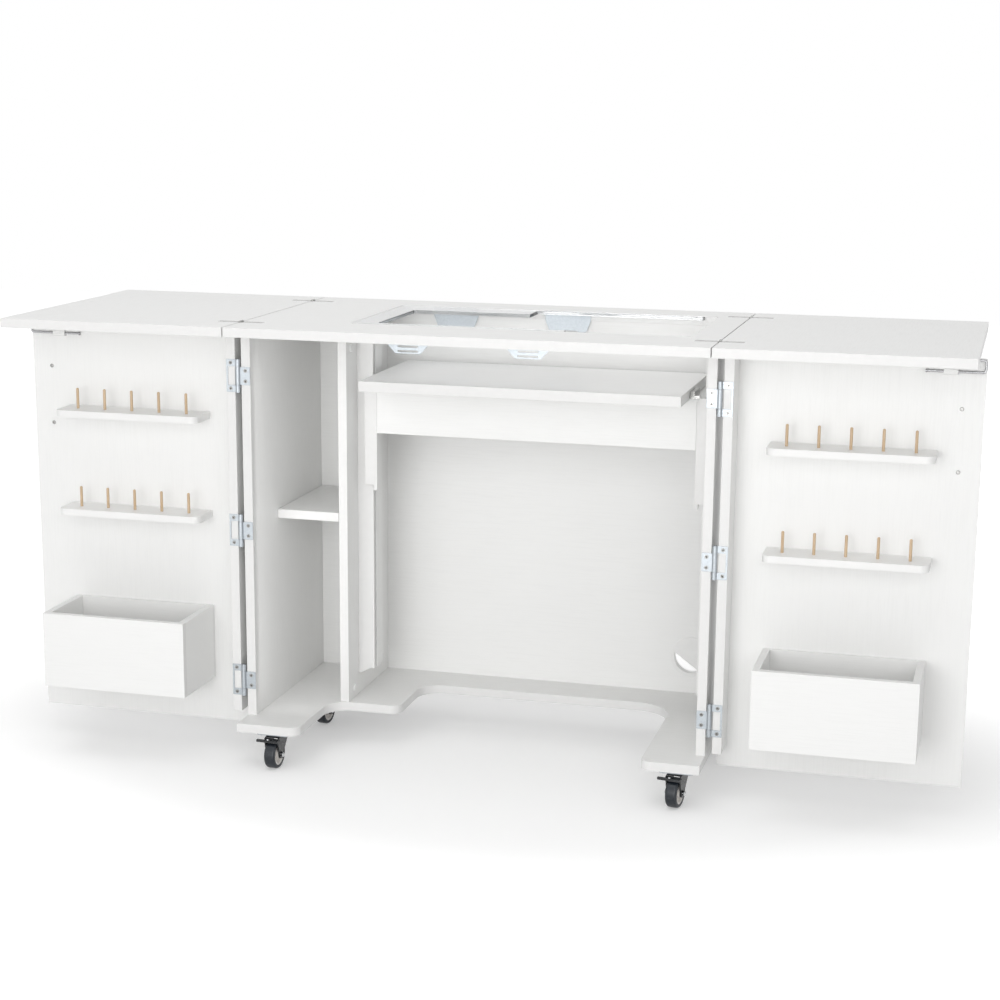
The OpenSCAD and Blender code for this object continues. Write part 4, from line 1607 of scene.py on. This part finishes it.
    def fork(self, post: CasterPost) -> None:
        """Makes one stamped fork with its race cover.

        Args:
            post: The caster's post.
        """
        node = f"{post.name}_fork"
        fork = soften(copied(node, f"{post.name}_stamped_fork"), 0.5 * MM, 2, 40)
        low, high = self.fork_top - 0.2 * MM, self.fork_top + 0.2 * MM
        cover = rod("cover", (0, 0, low), (0, 0, high), self.cover_radius, 40)
        cover.data.transform(post.matrix)
        paint(fork, self.finishes.black_paint)
        paint(cover, self.finishes.black_paint)
        stand_for(smooth(join(f"{post.name}_stamped_fork", [fork, cover]), 40), node)

    def pedal(self, post: CasterPost) -> None:
        """Makes one brake pedal with its rivet.

        Args:
            post: The caster's post.
        """
        dress_copy(
            f"{post.name}_brake_pedal", f"{post.name}_pressed_pedal", self.finishes.black_paint,
            0.45 * MM, edge=40,
        )
        place = post.matrix @ facing(self.pedal_rivet, (0, 0, 1))
        self.fasteners.place(
            Fastener.RIVET, f"{post.name}_pedal_rivet", [place], self.finishes.chrome,
            f"{post.name}_pedal",
        )

    def build(self) -> None:
        """Makes all four casters."""
        plate, tyre, hub = self.plate_master(), self.tyre_master(), self.hub_master()
        ends = self.axle_nut()
        for master in (tyre, hub):
            master.data.transform(Matrix.Translation((0, -self.trail, self.wheel)))
        places = [Matrix.Translation((p.x, p.y, 0)) for p in self.posts]
        plates = stamp(plate, "caster_top_plates", places)
        paint(plates, self.finishes.zinc)
        stand_for(smooth(plates, 38), "caster_plates")
        hole_x, hole_y = self.plate_hole
        corners = [(sx * hole_x, sy * hole_y) for sx in (-1, 1) for sy in (-1, 1)]
        self.fasteners.place(
            Fastener.PAN, "caster_plate_screws",
            [facing((p.x + x, p.y + y, self.plate_under), (0, 0, -1), 25)
             for p in self.posts for x, y in corners],
            self.finishes.zinc, "carcass",
        )
        for post in self.posts:
            self.fork(post)
            for master, node, name, finish in (
                (tyre, "tyre", "moulded_tread", self.finishes.tread),
                (hub, "hub", "nylon_centre", self.finishes.cream),
            ):
                self.stand_in(master, post, f"{post.name}_{node}", f"{post.name}_{name}", finish)
            nuts = paint(stamp(ends, f"{post.name}_axle_ends", [post.matrix]), self.finishes.chrome)
            fit(smooth(nuts, 38), f"{post.name}_swivel")
            if post.braked:
                self.pedal(post)
        for master in (plate, tyre, hub, ends):
            bpy.data.objects.remove(master)


# Studio


@dataclass(frozen=True)
class Lamp:
    """One large soft lamp: where it hangs, what it faces, its width and height, and its power."""

    name: str
    place: Triple
    aim: Triple
    size: Span
    watts: float
    mirrored: bool = True

    def hang(self) -> None:
        """Hangs the lamp; one that isn't mirrored is hidden from the camera and shiny pieces."""
        data = bpy.data.lights.new(self.name, "AREA")
        data.shape = "RECTANGLE"
        data.size, data.size_y = self.size
        data.energy = self.watts
        lamp = bpy.data.objects.new(self.name, data)
        lamp.visible_camera = lamp.visible_glossy = lamp.visible_transmission = self.mirrored
        lamp.matrix_world = facing(self.place, Vector(self.place) - Vector(self.aim))
        bpy.context.scene.collection.objects.link(lamp)


@dataclass
class Studio:
    """A white sweep of floor, soft light, and the camera at the photograph's angle."""

    camera_place: Triple = (0.8965, -3.3859, 1.1802)
    yaw: float = 14.761
    pitch: float = -13.089
    roll: float = 0.516
    lens: float = 73.06
    shift: float = 0.0509
    ambient: float = 0.45
    floor_size: float = 14.0
    floor_tone: float = 0.80
    # Painted light: a white glow on the floor, weak near the cabinet and strong further out, where
    # it washes out the cast shadow.
    floor_oval: Triple = (1.0, 1.6, 1.0)
    lift_reach: Span = (0.75, 1.6)
    lift_level: Span = (0.27, 0.80)
    lamps: tuple[Lamp, ...] = (
        Lamp("front_wall", (0, -4.6, 1.7), (0, 0, 0.6), (5.0, 3.0), 60),
        Lamp("right_soft", (2.6, -3.6, 2.0), (0, 0, 0.5), (2.2, 2.2), 12),
        Lamp("top_soft", (-0.4, -0.4, 3.6), (0, 0, 0.5), (3.0, 3.0), 36),
        Lamp("low_front", (-0.3, -4.6, 0.8), (0, 0, 0.45), (1.6, 1.6), 42),
        Lamp("back_wall", (0.2, 4.2, 0.36), (0, 0, 0.36), (4.0, 0.6), 28, False),
        Lamp("bay_fill", (-0.334, -0.165, 0.41), (-0.334, 1.0, 0.41), (0.10, 0.6), 0.10, False),
    )

    def camera(self) -> None:
        """Stands the camera."""
        data = bpy.data.cameras.new("photo_camera")
        data.lens = self.lens
        data.sensor_width = 36
        data.shift_y = self.shift
        data.clip_end = 60
        camera = bpy.data.objects.new("photo_camera", data)
        stand = Matrix.Translation(self.camera_place)
        for axis, degrees in (("Z", self.yaw), ("X", 90 + self.pitch), ("Z", self.roll)):
            stand = stand @ Matrix.Rotation(math.radians(degrees), 4, axis)
        camera.matrix_world = stand
        bpy.context.scene.collection.objects.link(camera)
        bpy.context.scene.camera = camera

    def white_rays(self, desk: NodeDesk) -> NodeSocket:
        """A value that is 1 for rays that see the background directly or by reflection.

        Args:
            desk: The nodes of the floor or the world.

        Returns:
            The value.
        """
        path = desk.add("LightPath")
        value = path.outputs["Is Camera Ray"]
        for name in ("Is Glossy Ray", "Is Transmission Ray"):
            value = desk.maths("MAXIMUM", value, path.outputs[name])
        return value

    def world(self) -> None:
        """Makes the world: an even ambient light, seen as plain white."""
        world = bpy.data.worlds.new("white_room")
        desk = NodeDesk(world)
        light, seen = (
            desk.preset(desk.add("Background"), Color=(1, 1, 1, 1), Strength=strength)
            for strength in (self.ambient, 1.0)
        )
        mix = desk.add("MixShader", self.white_rays(desk), light.outputs[0], seen.outputs[0])
        desk.add("OutputWorld", mix.outputs[0])
        bpy.context.scene.world = world

    def far_lift(self, desk: NodeDesk) -> NodeSocket:
        """Painted light: how much white glow is added to the floor, more with distance from the
        cabinet, where it hides the cast shadow.

        Args:
            desk: The floor's nodes.

        Returns:
            The added level.
        """
        place = desk.add("TexCoord").outputs["Object"]
        oval = desk.add("VectorMath", place, operation="MULTIPLY")
        oval.inputs[1].default_value = self.floor_oval
        far = desk.add("VectorMath", oval.outputs[0], operation="LENGTH").outputs["Value"]
        return desk.spread(far, *self.lift_reach, *self.lift_level)

    def floor(self) -> None:
        """Lays the floor: matt white with its cast shadow, under a painted glow that whitens it
        and, away from the cabinet, hides the shadow.
        """
        half = self.floor_size / 2
        floor = block("studio_floor", (-half, -half, -0.02), (half, half, 0))
        soften(floor, 0.004)
        material = bpy.data.materials.new("studio_white")
        desk = NodeDesk(material)
        matt = desk.preset(desk.add("BsdfDiffuse"), Color=(*[self.floor_tone] * 3, 1))
        # Painted light: a white glow seen by camera, glossy and transmission rays, graded by
        # distance from the cabinet.
        lift = desk.add("Emission")
        level = desk.maths("MULTIPLY", self.white_rays(desk), self.far_lift(desk))
        desk.join(level, lift.inputs["Strength"])
        total = desk.add("AddShader", matt.outputs[0], lift.outputs[0])
        desk.add("OutputMaterial", total.outputs[0])
        paint(floor, material)

    def build(self) -> None:
        """Builds the studio."""
        self.camera()
        self.world()
        self.floor()
        for lamp in self.lamps:
            lamp.hang()
        bpy.context.scene.view_settings.view_transform = "Standard"


def main() -> None:
    """Builds every sub-assembly in order, and the studio round them."""
    logging.basicConfig(level=logging.INFO, format="%(name)s: %(message)s")
    finishes = FinishRack()
    fasteners = FastenerBox()
    shop = BoardShop(finishes)
    Studio().build()
    TableTop(shop, fasteners).build()
    Carcass(shop).build()
    DoorHinges(finishes, fasteners).build()
    for side in Side:
        Door(side, shop, fasteners).build()
    MachineLift(shop).build()
    Insert(finishes).build()
    Casters(finishes, fasteners).build()
    fasteners.clear_away()


if __name__ == "__main__":
    main()
